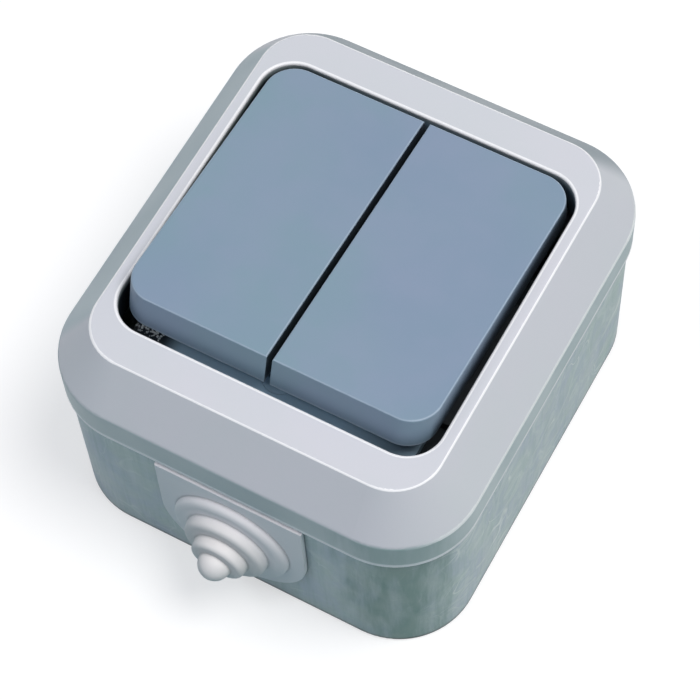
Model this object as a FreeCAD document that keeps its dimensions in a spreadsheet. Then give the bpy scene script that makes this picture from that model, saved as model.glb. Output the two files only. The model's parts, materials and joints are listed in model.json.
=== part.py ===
# Two-gang weatherproof surface switch with its cable grommet, millimetres.
# The back lies on z = 0, the front looks along +Z and +Y is the side of the grommet.
# Left and right are as seen from the front with the grommet up, so left is -X.
import FreeCAD, Part
import math
import os
import re
import Sketcher

Vector = FreeCAD.Vector
doc = FreeCAD.newDocument("weatherproof_switch")

# Driving dimensions

dimensions = [
    # rockers
    ("rocker_width", 23.9), ("rocker_gap", 0.9), ("rocker_side_gap", 1.25), ("rocker_end_gap", 2.0),
    ("rocker_rise", 13.0), ("rocker_depth", 5.1), ("rocker_flare", 1.05), ("rest_tilt", 4.45),
    ("rocker_corner", 4.6), ("rocker_edge", 0.3), ("rocker_wall", 1.5), ("rocker_skin", 1.8),
    ("lug_half_width", 3.5), ("lug_thick", 1.2), ("lug_hook", 0.8), ("lug_play", 0.2), ("hook_thick", 1.1),
    # cradles, plungers and springs, measured from the rocker pivot
    ("cradle_half_width", 7.1), ("cradle_half_length", 9.0), ("cradle_thick", 1.6),
    ("leg_thick", 1.1), ("leg_half_length", 2.6), ("trunnion_radius", 1.5), ("trunnion_spare", 0.4),
    ("tube_radius", 3.0), ("tube_bore", 2.2), ("tube_drop", 3.0), ("tube_roof", 1.0),
    ("plunger_head_play", 0.1), ("plunger_stem", 1.5), ("plunger_head_length", 4.3), ("spigot_radius", 1.1),
    ("spigot_length", 1.5), ("plunger_play", 0.08),
    ("spring_radius", 1.6), ("spring_wire", 0.2), ("spring_pitch", 1.15), ("spring_play", 0.05),
    # contact block, from the floor of the box up
    ("floor_thick", 2.2), ("seat_height", 2.8), ("block_floor", 9.9), ("chamber_depth", 10.1),
    ("pivot_rise", 6.3), ("chamber_half_width", 6.0), ("chamber_half_length", 10.5), ("block_side_wall", 3.6),
    ("pocket_wall", 0.8), ("pocket_depth", 5.7), ("pocket_half_width", 4.2), ("cage_play", 0.3),
    ("core_roof", 1.5), ("core_wall", 1.5), ("foot_reach", 6.0), ("foot_half_width", 4.0), ("foot_thick", 3.0),
    ("foot_screw_radius", 1.2), ("foot_screw_head", 2.8), ("foot_screw_head_height", 1.8),
    ("foot_screw_length", 5.2), ("pilot_spare", 0.6), ("seat_radius", 3.2), ("seat_rib", 2.0),
    # contacts and terminals
    ("strip_thick", 1.0), ("strip_half_width", 2.4), ("blade_thick", 1.6), ("blade_edge", 0.3),
    ("blade_play", 0.1), ("bar_half_width", 2.6), ("fit_play", 0.2), ("knife_height", 4.75),
    ("lever_ratio", 2.0), ("lever_half_width", 3.0), ("lever_end_gap", 0.9), ("lever_thick", 1.2),
    ("contact_inset", 2.0), ("contact_radius", 1.8), ("contact_thick", 0.8), ("contact_play", 0.1),
    ("rivet_radius", 1.0), ("rivet_head", 1.3), ("rivet_head_thick", 0.4), ("tongue_margin", 0.6),
    ("cage_wall", 1.2), ("cage_half_width", 3.6), ("cage_length", 5.0), ("cage_height", 7.9),
    ("wire_room", 3.2), ("clamp_screw_radius", 1.6), ("clamp_screw_head", 2.7),
    ("clamp_screw_head_height", 2.0), ("clamp_screw_rise", 5.5), ("slot_width", 0.7), ("slot_depth", 0.8),
    # bearing frame
    ("frame_thick", 1.6), ("frame_margin", 0.7), ("ear_gap", 0.3), ("ear_thick", 1.5),
    ("ear_radius", 2.7), ("bearing_play", 0.05), ("clip_thick", 1.2), ("clip_play", 0.15),
    ("clip_space", 2.0), ("clip_width", 4.0), ("clip_drop", 8.0), ("clip_hook", 0.7), ("clip_hook_height", 1.2),
    # cover, round the window that the rockers need
    ("bezel_side", 1.9), ("bezel_end", 5.8), ("bezel_rise", 10.5), ("bezel_thick", 2.0),
    ("slope_inset", 5.5), ("slope_height", 7.4), ("skirt_height", 5.9), ("cover_corner", 12.8),
    ("skirt_round", 1.3), ("crease_round", 0.5), ("window_corner", 5.4), ("window_round", 0.4),
    ("well_wall", 1.6), ("cavity_taper", 28.0), ("ledge_half_width", 22.5), ("ledge_play", 0.4),
    ("ledge_thick", 1.5),
    # cover screws and their posts
    ("post_radius", 2.6), ("post_gap", 0.4), ("post_inset", 5.2), ("post_play", 0.1),
    ("post_hole_spare", 3.5),
    ("cover_screw_radius", 1.45), ("cover_screw_length", 12.0), ("cover_screw_head", 2.7),
    ("screw_play", 0.05), ("countersink_play", 0.1),
    # box
    ("overhang", 0.6), ("rim_gap", 0.4), ("box_draft", 0.3), ("box_wall", 2.6), ("lip_wall", 1.2),
    ("lip_height", 4.3), ("lip_play", 0.3), ("gasket_thick", 1.2), ("base_round", 0.5),
    ("wall_spacing_across", 40.0), ("wall_spacing_along", 49.0), ("wall_slot_width", 5.2),
    ("wall_slot_length", 9.0), ("collar_wall", 1.2), ("collar_rise", 1.5), ("rib_thick", 1.6),
    ("rib_height", 17.0),
    # cable entry
    ("entry_rise", 1.8), ("entry_half_width", 11.0), ("entry_play", 0.3), ("plate_margin", 1.0),
    ("plate_thick", 0.8), ("plate_play", 0.1), ("plate_rim_gap", 0.6), ("flange_thick", 0.9),
    ("nub_radius", 2.7), ("ring_step", 2.28), ("ring_taper", 0.8), ("ring_pitch", 1.9), ("ring_start", 0.3),
    ("ring_round", 0.9), ("sleeve_wall", 1.34), ("sleeve_step", 0.3), ("sleeve_tip_radius", 1.3),
]

sheet = doc.addObject("Spreadsheet::Sheet", "Sizes")
for row, (alias, value) in enumerate(dimensions, start=1):
    sheet.set("A%d" % row, alias.replace("_", " "))
    sheet.set("B%d" % row, str(value))
    sheet.setAlias("B%d" % row, alias)
doc.recompute()

size_names = {alias for alias, value in dimensions}


def bind(text):
    """Turn a formula in plain size names into one that points at the sheet."""
    return re.sub(r"[a-z_]+", lambda word: "Sizes." + word[0] if word[0] in size_names else word[0], text)


def number(text):
    value = sheet.evalExpression(bind(str(text)))
    return float(getattr(value, "Value", value))


def times(factor, text):
    return f"{factor} * ( {text} )"


def tie(thing, prop, text):
    thing.setExpression(prop, bind(str(text)))


# Formulas that more than one piece uses, from the rockers outwards and from the floor upwards

rocker_mid = "( rocker_width + rocker_gap ) / 2"
rocker_half_width = "rocker_width / 2"
window_half_x = "( rocker_width + rocker_gap / 2 + rocker_side_gap )"
block_half_width = "( " + rocker_mid + " + chamber_half_width + block_side_wall )"
block_half_length = "( chamber_half_length + pocket_wall + pocket_depth )"
foot_screw_place = "( " + block_half_width + " + foot_reach / 2 )"
post_place = "( " + block_half_length + " + post_gap + post_radius )"
window_half_y = "( " + post_place + " + post_inset )"
rocker_half_length = "( " + window_half_y + " - rocker_end_gap )"
cover_half_x = "( " + window_half_x + " + bezel_side + slope_inset )"
cover_half_y = "( " + window_half_y + " + bezel_end + slope_inset )"
box_half_x = "( " + cover_half_x + " - overhang )"
box_half_y = "( " + cover_half_y + " - overhang )"
box_corner = "( cover_corner - overhang )"
room_half_x = "( " + box_half_x + " - box_wall )"
room_half_y = "( " + box_half_y + " - box_wall )"
room_corner = "( cover_corner - overhang - box_wall )"
lip_half_x = "( " + room_half_x + " + lip_wall )"
lip_half_y = "( " + room_half_y + " + lip_wall )"
lip_corner = "( " + room_corner + " + lip_wall )"

block_bottom = "( floor_thick + seat_height )"
chamber_floor = "( floor_thick + seat_height + block_floor )"
block_top = "( " + chamber_floor + " + chamber_depth )"
pivot_level = "( " + block_top + " + pivot_rise )"
bezel_level = "( " + pivot_level + " + bezel_rise )"
skirt_top = "( " + bezel_level + " - slope_height )"
rim_level = "( " + skirt_top + " - skirt_height )"
box_top = "( " + rim_level + " - rim_gap )"
lip_top = "( " + box_top + " + lip_height )"
shoulder_level = "( " + lip_top + " + gasket_thick )"
rocker_low_end = "( ( " + rocker_half_length + " + rocker_flare ) * sin(rest_tilt) )"
rocker_low_side = "( ( rocker_rise - rocker_depth ) * cos(rest_tilt) )"
ledge_level = "( " + pivot_level + " + " + rocker_low_side + " - " + rocker_low_end + " - ledge_play )"
ledge_bottom = "( " + ledge_level + " - ledge_thick )"

ceiling = "( rocker_rise - rocker_skin )"
cradle_bottom = "( rocker_rise - rocker_skin - cradle_thick )"
tube_top = "( rocker_rise - rocker_skin - cradle_thick - tube_roof )"
ear_start = "( cradle_half_width + ear_gap )"
lever_level = "( " + chamber_floor + " + knife_height )"
lever_half_length = "( chamber_half_length - lever_end_gap )"
contact_offset = "( " + lever_half_length + " - contact_inset )"
plunger_reach = "( " + block_top + " + pivot_rise - " + lever_level + " - lever_thick - plunger_play )"
strip_top = "( " + chamber_floor + " + strip_thick )"
pocket_start = "( chamber_half_length + pocket_wall )"
cage_start = "( chamber_half_length + pocket_wall + fit_play )"
cage_middle = "( chamber_half_length + pocket_wall + fit_play + cage_length / 2 )"
cage_bottom = "( " + chamber_floor + " - wire_room - cage_wall )"
pocket_floor = "( " + chamber_floor + " - wire_room - cage_wall - cage_play )"
core_half_length = "( chamber_half_length - core_wall )"
frame_half_length = "( chamber_half_length + frame_margin )"
clip_place = "( foot_half_width + clip_space + clip_width / 2 )"
plate_half_width = "( entry_half_width + plate_margin )"
entry_level = "( floor_thick + entry_rise + entry_half_width + plate_margin )"
sides = (("left", -1), ("right", 1))


# Sketch and feature helpers

def plane_of(body, role):
    return [part for part in body.Origin.OriginFeatures if part.Role == role][0]


def new_body(label):
    body = doc.addObject("PartDesign::Body", label)
    body.Label = label
    return body


def new_sketch(body, name, role, offset):
    sketch = body.newObject("Sketcher::SketchObject", name)
    sketch.AttachmentSupport = [(plane_of(body, role), "")]
    sketch.MapMode = "FlatFace"
    tie(sketch, "AttachmentOffset.Base.z", offset)
    return sketch


def rule(sketch, kind, *parts):
    """Add a constraint; a formula given last drives its value."""
    if isinstance(parts[-1], str):
        index = sketch.addConstraint(Sketcher.Constraint(kind, *parts[:-1], number(parts[-1])))
        tie(sketch, "Constraints[%d]" % index, parts[-1])
    else:
        sketch.addConstraint(Sketcher.Constraint(kind, *parts))


def place_point(sketch, curve, end, x, y):
    for text, kind, axis in ((x, "DistanceX", -2), (y, "DistanceY", -1)):
        if text == "0":
            rule(sketch, "PointOnObject", curve, end, axis)
        else:
            rule(sketch, kind, -1, 1, curve, end, text)


def add_polygon(sketch, points):
    places = [Vector(number(x), number(y), 0) for x, y in points]
    first = sketch.GeometryCount
    count = len(points)
    for index in range(count):
        sketch.addGeometry(Part.LineSegment(places[index], places[(index + 1) % count]))
    for index in range(count):
        rule(sketch, "Coincident", first + index, 2, first + (index + 1) % count, 1)
    for index, (x, y) in enumerate(points):
        place_point(sketch, first + index, 1, x, y)


def add_rectangle(sketch, left, low, right, high):
    add_polygon(sketch, [(left, low), (right, low), (right, high), (left, high)])


def add_circle(sketch, x, y, radius):
    index = sketch.addGeometry(Part.Circle(Vector(number(x), number(y), 0), Vector(0, 0, 1), number(radius)))
    rule(sketch, "Radius", index, radius)
    place_point(sketch, index, 3, x, y)


def add_arc(sketch, x, y, radius, start, end):
    circle = Part.Circle(Vector(x, y, 0), Vector(0, 0, 1), radius)
    return sketch.addGeometry(Part.ArcOfCircle(circle, math.radians(start), math.radians(end)))


def add_rounded_rectangle(sketch, half_x, half_y, radius):
    """Four sides and four corner arcs, centred on the origin."""
    hx, hy, r = number(half_x), number(half_y), number(radius)
    ix, iy = hx - r, hy - r
    first = sketch.addGeometry(Part.LineSegment(Vector(-ix, -hy, 0), Vector(ix, -hy, 0)))
    add_arc(sketch, ix, -iy, r, -90, 0)
    sketch.addGeometry(Part.LineSegment(Vector(hx, -iy, 0), Vector(hx, iy, 0)))
    add_arc(sketch, ix, iy, r, 0, 90)
    sketch.addGeometry(Part.LineSegment(Vector(ix, hy, 0), Vector(-ix, hy, 0)))
    add_arc(sketch, -ix, iy, r, 90, 180)
    sketch.addGeometry(Part.LineSegment(Vector(-hx, iy, 0), Vector(-hx, -iy, 0)))
    add_arc(sketch, -ix, -iy, r, 180, 270)
    for step in range(8):
        rule(sketch, "Tangent", first + step, 2, first + (step + 1) % 8, 1)
    for step, kind in ((0, "Horizontal"), (2, "Vertical"), (4, "Horizontal"), (6, "Vertical")):
        rule(sketch, kind, first + step)
    for step in (1, 3, 5):
        rule(sketch, "Equal", first + step, first + step + 2)
    rule(sketch, "Radius", first + 1, radius)
    for step, sign in ((3, ""), (7, "-1 * ")):
        rule(sketch, "DistanceX", -1, 1, first + step, 3, sign + "( " + half_x + " - ( " + radius + " ) )")
        rule(sketch, "DistanceY", -1, 1, first + step, 3, sign + "( " + half_y + " - ( " + radius + " ) )")


def add_arch(sketch, half_width, centre, top):
    """U outline: straight sides up to a flat top, closed below by a half circle."""
    w, c, t = number(half_width), number(centre), number(top)
    first = sketch.addGeometry(Part.LineSegment(Vector(-w, t, 0), Vector(-w, c, 0)))
    add_arc(sketch, 0, c, w, 180, 360)
    sketch.addGeometry(Part.LineSegment(Vector(w, c, 0), Vector(w, t, 0)))
    sketch.addGeometry(Part.LineSegment(Vector(w, t, 0), Vector(-w, t, 0)))
    rule(sketch, "Tangent", first, 2, first + 1, 1)
    rule(sketch, "Tangent", first + 1, 2, first + 2, 1)
    rule(sketch, "Coincident", first + 2, 2, first + 3, 1)
    rule(sketch, "Coincident", first + 3, 2, first, 1)
    rule(sketch, "Vertical", first)
    rule(sketch, "Vertical", first + 2)
    rule(sketch, "Horizontal", first + 3)
    rule(sketch, "Radius", first + 1, half_width)
    place_point(sketch, first + 1, 3, "0", centre)
    rule(sketch, "DistanceY", -1, 1, first + 2, 2, top)


def add_slot(sketch, x, y, half_straight, radius):
    """Obround along X."""
    a, r, cx, cy = number(half_straight), number(radius), number(x), number(y)
    first = sketch.addGeometry(Part.LineSegment(Vector(cx + a, cy + r, 0), Vector(cx - a, cy + r, 0)))
    add_arc(sketch, cx - a, cy, r, 90, 270)
    sketch.addGeometry(Part.LineSegment(Vector(cx - a, cy - r, 0), Vector(cx + a, cy - r, 0)))
    add_arc(sketch, cx + a, cy, r, -90, 90)
    for step in range(4):
        rule(sketch, "Tangent", first + step, 2, first + (step + 1) % 4, 1)
    rule(sketch, "Horizontal", first)
    rule(sketch, "Horizontal", first + 2)
    rule(sketch, "Radius", first + 1, radius)
    place_point(sketch, first + 1, 3, x + " - ( " + half_straight + " )", y)
    rule(sketch, "DistanceX", -1, 1, first + 3, 3, x + " + " + half_straight)


def extrude(body, kind, name, sketch, length, back=False, both=False, taper=None):
    feature = body.newObject("PartDesign::" + kind, name)
    feature.Profile = sketch
    tie(feature, "Length", length)
    feature.Reversed = back
    if both:
        feature.SideType = "Symmetric"
    if taper:
        tie(feature, "TaperAngle", taper)
    sketch.Visibility = False
    doc.recompute()
    return feature


def spin(body, kind, name, sketch):
    """Full turn about the sketch's vertical axis."""
    feature = body.newObject("PartDesign::" + kind, name)
    feature.Profile = sketch
    feature.ReferenceAxis = (sketch, ["V_Axis"])
    feature.Angle = 360.0
    doc.recompute()
    return feature


def edges_where(feature, test):
    return ["Edge%d" % (index + 1) for index, edge in enumerate(feature.Shape.Edges) if test(edge)]


def dress(body, kind, name, base, test, size):
    """Fillet or chamfer on the edges of the base that pass the test."""
    feature = body.newObject("PartDesign::" + kind, name)
    feature.Base = (base, edges_where(base, test))
    tie(feature, "Radius" if kind == "Fillet" else "Size", size)
    doc.recompute()
    return feature


def flat_at(edge, level):
    box = edge.BoundBox
    return abs(box.ZMin - level) < 0.001 and abs(box.ZMax - level) < 0.001


def is_arc(edge, radius):
    if edge.Degenerated or not isinstance(edge.Curve, Part.Circle):
        return False
    return abs(edge.Curve.Radius - radius) < 0.001


# Primitive and boolean helpers

def put(thing, x, y, z):
    for axis, text in (("x", x), ("y", y), ("z", z)):
        tie(thing, "Placement.Base." + axis, text)


def make_box(name, x, y, z, long_x, long_y, long_z):
    """Box with its lowest corner at x, y, z."""
    box = doc.addObject("Part::Box", name)
    for prop, text in (("Length", long_x), ("Width", long_y), ("Height", long_z)):
        tie(box, prop, text)
    put(box, x, y, z)
    return box


def centred_box(name, x, y, z, half_x, half_y, long_z):
    """Box centred on x, y that stands on z."""
    return make_box(name, f"( {x} ) - ( {half_x} )", f"( {y} ) - ( {half_y} )", z,
                    times(2, half_x), times(2, half_y), long_z)


def make_rod(name, x, y, z, radius, length, axis=None):
    rod = doc.addObject("Part::Cylinder", name)
    tie(rod, "Radius", radius)
    tie(rod, "Height", length)
    if axis:
        rod.Placement = FreeCAD.Placement(Vector(0, 0, 0), FreeCAD.Rotation(Vector(0, 0, 1), axis))
    put(rod, x, y, z)
    return rod


def make_cone(name, x, y, z, low_radius, high_radius, length):
    cone = doc.addObject("Part::Cone", name)
    for prop, text in (("Radius1", low_radius), ("Radius2", high_radius), ("Height", length)):
        tie(cone, prop, text)
    put(cone, x, y, z)
    return cone


def make_ball(name, x, y, z, radius):
    ball = doc.addObject("Part::Sphere", name)
    tie(ball, "Radius", radius)
    put(ball, x, y, z)
    return ball


def join(name, parts):
    whole = doc.addObject("Part::MultiFuse", name)
    whole.Shapes = parts
    whole.Refine = True
    return whole


def subtract(name, base, tools):
    result = doc.addObject("Part::Cut", name)
    result.Base = base
    result.Tool = tools[0] if len(tools) == 1 else join(name + "_tools", tools)
    result.Refine = True
    return result


def group(name, parts):
    whole = doc.addObject("Part::Compound", name)
    whole.Links = parts
    return whole


def tilt_about_x(thing, x, z, angle):
    """Carry a piece drawn about its pivot to its place, turned about the X axis."""
    thing.Placement = FreeCAD.Placement(Vector(0, 0, 0), FreeCAD.Rotation(Vector(1, 0, 0), 1))
    put(thing, x, "0", z)
    tie(thing, "Placement.Rotation.Angle", angle)


subparts = []


def keep(thing, label):
    thing.Label = label
    subparts.append(thing)
    return thing


# Surface box: drafted walls, thin lip inside the cover's skirt, notch for the grommet

def make_back_box():
    body = new_body("back_box")
    outline = new_sketch(body, "box_outline", "XY_Plane", "0")
    draft_loss = "( " + box_top + " ) * tan(box_draft)"
    add_rounded_rectangle(outline, box_half_x + " - " + draft_loss, box_half_y + " - " + draft_loss,
                          box_corner + " - " + draft_loss)
    walls = extrude(body, "Pad", "box_walls", outline, box_top, taper="box_draft")
    walls = dress(body, "Fillet", "box_foot", walls, lambda edge: flat_at(edge, 0), "base_round")
    lip = new_sketch(body, "lip_outline", "XY_Plane", box_top)
    add_rounded_rectangle(lip, lip_half_x, lip_half_y, lip_corner)
    extrude(body, "Pad", "box_lip", lip, "lip_height")
    room = new_sketch(body, "room_outline", "XY_Plane", lip_top)
    add_rounded_rectangle(room, room_half_x, room_half_y, room_corner)
    extrude(body, "Pocket", "box_room", room, lip_top + " - floor_thick")
    notch = new_sketch(body, "notch_outline", "XZ_Plane", "-1 * ( " + room_half_y + " - 1 )")
    add_arch(notch, "entry_half_width", entry_level, lip_top + " + 1")
    extrude(body, "Pocket", "entry_notch", notch, "box_wall + 2")
    posts = new_sketch(body, "post_outlines", "XY_Plane", "floor_thick / 2")
    for sign in ("", "-1 * "):
        add_circle(posts, "0", sign + post_place, "post_radius")
    extrude(body, "Pad", "cover_posts", posts, ledge_bottom + " - post_play - floor_thick / 2")
    seats = new_sketch(body, "seat_outlines", "XY_Plane", "floor_thick / 2")
    for sign in ("", "-1 * "):
        add_circle(seats, sign + foot_screw_place, "0", "seat_radius")
        middle = sign + "( " + block_half_length + " - 2 * seat_rib )"
        add_rectangle(seats, "-1 * ( " + block_half_width + " - seat_rib )", middle + " - seat_rib / 2",
                      block_half_width + " - seat_rib", middle + " + seat_rib / 2")
    extrude(body, "Pad", "block_seats", seats, block_bottom + " - floor_thick / 2")
    rib = new_sketch(body, "post_rib_outline", "XY_Plane", "floor_thick / 2")
    add_rectangle(rib, "-1 * rib_thick / 2", times(-1, room_half_y + " + 1"),
                  "rib_thick / 2", times(-1, post_place))
    extrude(body, "Pad", "post_rib", rib, "rib_height + floor_thick / 2")
    pilots = new_sketch(body, "post_holes", "XY_Plane", ledge_bottom + " - post_play")
    for sign in ("", "-1 * "):
        add_circle(pilots, "0", sign + post_place, "cover_screw_radius + screw_play")
    extrude(body, "Pocket", "cover_pilots", pilots, "cover_screw_length - ledge_thick + post_hole_spare")
    foot_pilots = new_sketch(body, "seat_holes", "XY_Plane", block_bottom)
    for sign in ("", "-1 * "):
        add_circle(foot_pilots, sign + foot_screw_place, "0", "foot_screw_radius + screw_play")
    extrude(body, "Pocket", "block_pilots", foot_pilots, "foot_screw_length - foot_thick + pilot_spare")
    slot_radius = "wall_slot_width / 2"
    collar_top = "floor_thick + collar_rise"
    for kind, name, level, length, radius in (
            ("Pad", "slot_collars", "floor_thick / 2", "floor_thick / 2 + collar_rise", slot_radius + " + collar_wall"),
            ("Pocket", "wall_slots", collar_top, collar_top + " + 1", slot_radius)):
        slots = new_sketch(body, name + "_outline", "XY_Plane", level)
        for across in ("", "-1 * "):
            for along in ("", "-1 * "):
                add_slot(slots, across + "wall_spacing_across / 2", along + "wall_spacing_along / 2",
                         "( wall_slot_length - wall_slot_width ) / 2", radius)
        extrude(body, kind, name, slots, length)
    return keep(body, "back_box")


# Cover: upright skirt, sloping flank, flat bezel, window well and the two screw ledges

def make_front_cover():
    body = new_body("front_cover")
    skirt = new_sketch(body, "skirt_outline", "XY_Plane", rim_level)
    add_rounded_rectangle(skirt, cover_half_x, cover_half_y, "cover_corner")
    extrude(body, "Pad", "skirt", skirt, "skirt_height")
    flank = new_sketch(body, "flank_outline", "XY_Plane", skirt_top)
    add_rounded_rectangle(flank, cover_half_x, cover_half_y, "cover_corner")
    slope = extrude(body, "Pad", "slope", flank, "slope_height", taper="-1 * atan(slope_inset / slope_height)")
    slope = dress(body, "Fillet", "slope_foot", slope,
                  lambda edge: flat_at(edge, number(skirt_top)), "skirt_round")
    dress(body, "Fillet", "bezel_crease", slope,
          lambda edge: flat_at(edge, number(bezel_level)), "crease_round")
    low_room = new_sketch(body, "low_room_outline", "XY_Plane", rim_level)
    add_rounded_rectangle(low_room, lip_half_x + " + lip_play", lip_half_y + " + lip_play",
                          lip_corner + " + lip_play")
    extrude(body, "Pocket", "low_room", low_room, shoulder_level + " - " + rim_level, back=True)
    high_room = new_sketch(body, "high_room_outline", "XY_Plane", shoulder_level)
    add_rounded_rectangle(high_room, room_half_x, room_half_y, room_corner)
    extrude(body, "Pocket", "high_room", high_room, bezel_level + " - bezel_thick - ( " + shoulder_level + " )",
            back=True, taper="-1 * cavity_taper")
    well = new_sketch(body, "well_outline", "XY_Plane", ledge_bottom)
    add_rounded_rectangle(well, window_half_x + " + well_wall", window_half_y + " + well_wall",
                          "window_corner + well_wall")
    extrude(body, "Pad", "well", well, bezel_level + " - bezel_thick / 2 - ( " + ledge_bottom + " )")
    window = new_sketch(body, "window_outline", "XY_Plane", bezel_level)
    add_rounded_rectangle(window, window_half_x, window_half_y, "window_corner")
    opening = extrude(body, "Pocket", "window", window, bezel_level + " - ( " + ledge_bottom + " ) + 1")
    dress(body, "Fillet", "window_lip", opening,
          lambda edge: flat_at(edge, number(bezel_level)) and edge.BoundBox.XMax < number(window_half_x) + 0.01
          and edge.BoundBox.XMin > -number(window_half_x) - 0.01, "window_round")
    ledges = new_sketch(body, "ledge_outlines", "XY_Plane", ledge_bottom)
    edge_in = post_place + " - cover_screw_head - well_wall / 2"
    edge_out = window_half_y + " + well_wall / 2"
    add_rectangle(ledges, "-1 * ledge_half_width", edge_in, "ledge_half_width", edge_out)
    add_rectangle(ledges, "-1 * ledge_half_width", times(-1, edge_out), "ledge_half_width", times(-1, edge_in))
    extrude(body, "Pad", "ledges", ledges, "ledge_thick")
    holes = new_sketch(body, "cover_hole_outlines", "XY_Plane", ledge_level)
    for sign in ("", "-1 * "):
        add_circle(holes, "0", sign + post_place, "cover_screw_radius + screw_play")
    drilled = extrude(body, "Pocket", "cover_holes", holes, "ledge_thick + 1")
    hole_radius = number("cover_screw_radius + screw_play")
    dress(body, "Chamfer", "countersinks", drilled,
          lambda edge: is_arc(edge, hole_radius) and flat_at(edge, number(ledge_level)),
          "cover_screw_head - cover_screw_radius - screw_play + countersink_play")
    return keep(body, "front_cover")


# Rubber ring between the lip of the box and the shoulder inside the cover

def make_cover_gasket():
    body = new_body("cover_gasket")
    ring = new_sketch(body, "gasket_outline", "XY_Plane", lip_top)
    add_rounded_rectangle(ring, lip_half_x, lip_half_y, lip_corner)
    add_rounded_rectangle(ring, room_half_x, room_half_y, room_corner)
    extrude(body, "Pad", "gasket_ring", ring, "gasket_thick")
    return keep(body, "cover_gasket")


# Soft stepped grommet, drawn about the cable axis with y = 0 on the wall's outer face

def ring_level(step):
    return f"( ring_start + {step} * ring_pitch )"


def ring_size(step):
    return f"( nub_radius + ( 3 - {step} ) * ring_step )"


def make_cable_grommet():
    body = new_body("cable_grommet")
    plate_top = rim_level + " - plate_rim_gap - " + entry_level
    layers = (
        ("plate", plate_half_width, plate_top, "plate_play", "plate_play + plate_thick"),
        ("web", "entry_half_width - entry_play", box_top + " - " + entry_level,
         "-1 * ( box_wall + plate_play )", "plate_play"),
        ("lip_web", "entry_half_width - entry_play", lip_top + " - " + entry_level,
         "-1 * ( box_wall + plate_play )", "-1 * ( box_wall - lip_wall )"),
        ("flange", plate_half_width, lip_top + " - lip_play - " + entry_level,
         "-1 * ( box_wall + plate_play + flange_thick )", "-1 * ( box_wall + plate_play )"),
    )
    for name, half_width, top, start, end in layers:
        outline = new_sketch(body, name + "_outline", "XZ_Plane", "-1 * ( " + start + " )")
        add_arch(outline, half_width, "0", top)
        extrude(body, "Pad", name, outline, "( " + end + " ) - ( " + start + " )", back=True)
    profile = new_sketch(body, "cone_profile", "XY_Plane", "0")
    points = [("0", "plate_play"), (ring_size(0), "plate_play"), (ring_size(0), ring_level(0))]
    for step in range(3):
        points.append((ring_size(step) + " - ring_taper", ring_level(step + 1)))
        points.append((ring_size(step + 1), ring_level(step + 1)))
    count = len(points)
    places = [Vector(number(x), number(y), 0) for x, y in points]
    for index in range(count - 1):
        profile.addGeometry(Part.LineSegment(places[index], places[index + 1]))
    dome = add_arc(profile, 0, places[-1].y, number("nub_radius"), 0, 90)
    tip = Vector(0, places[-1].y + number("nub_radius"), 0)
    closing = profile.addGeometry(Part.LineSegment(tip, places[0]))
    for index in range(count - 2):
        rule(profile, "Coincident", index, 2, index + 1, 1)
    rule(profile, "Coincident", count - 2, 2, dome, 1)
    rule(profile, "Coincident", dome, 2, closing, 1)
    rule(profile, "Coincident", closing, 2, 0, 1)
    for index, (x, y) in enumerate(points[:-1]):
        place_point(profile, index, 1, x, y)
    place_point(profile, dome, 3, "0", ring_level(3))
    rule(profile, "Radius", dome, "nub_radius")
    rule(profile, "PointOnObject", dome, 2, -2)
    rule(profile, "Horizontal", count - 2)
    cone = spin(body, "Revolution", "cone", profile)
    tops = [(number(ring_size(step) + " - ring_taper"), number(ring_level(step + 1))) for step in range(3)]
    dress(body, "Fillet", "ring_edges", cone,
          lambda edge: any(is_arc(edge, radius) and abs(edge.BoundBox.YMax - level) < 0.001
                           and abs(edge.BoundBox.YMin - level) < 0.001 for radius, level in tops), "ring_round")
    sleeve = new_sketch(body, "sleeve_profile", "XY_Plane", "0")
    sleeve_base = "-1 * ( box_wall + plate_play + flange_thick + 1 )"
    sleeve_radius = ring_size(0) + " - sleeve_wall"
    add_polygon(sleeve, [("0", sleeve_base), (sleeve_radius, sleeve_base),
                         (sleeve_radius, "ring_start - sleeve_step"), ("sleeve_tip_radius", ring_level(3)),
                         ("0", ring_level(3))])
    spin(body, "Groove", "sleeve", sleeve)
    put(body, "0", box_half_y, entry_level)
    return keep(body, "cable_grommet")


# Rocker: flared ends and rounded outer corners, hollow below, with two hooks for its cradle

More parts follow.
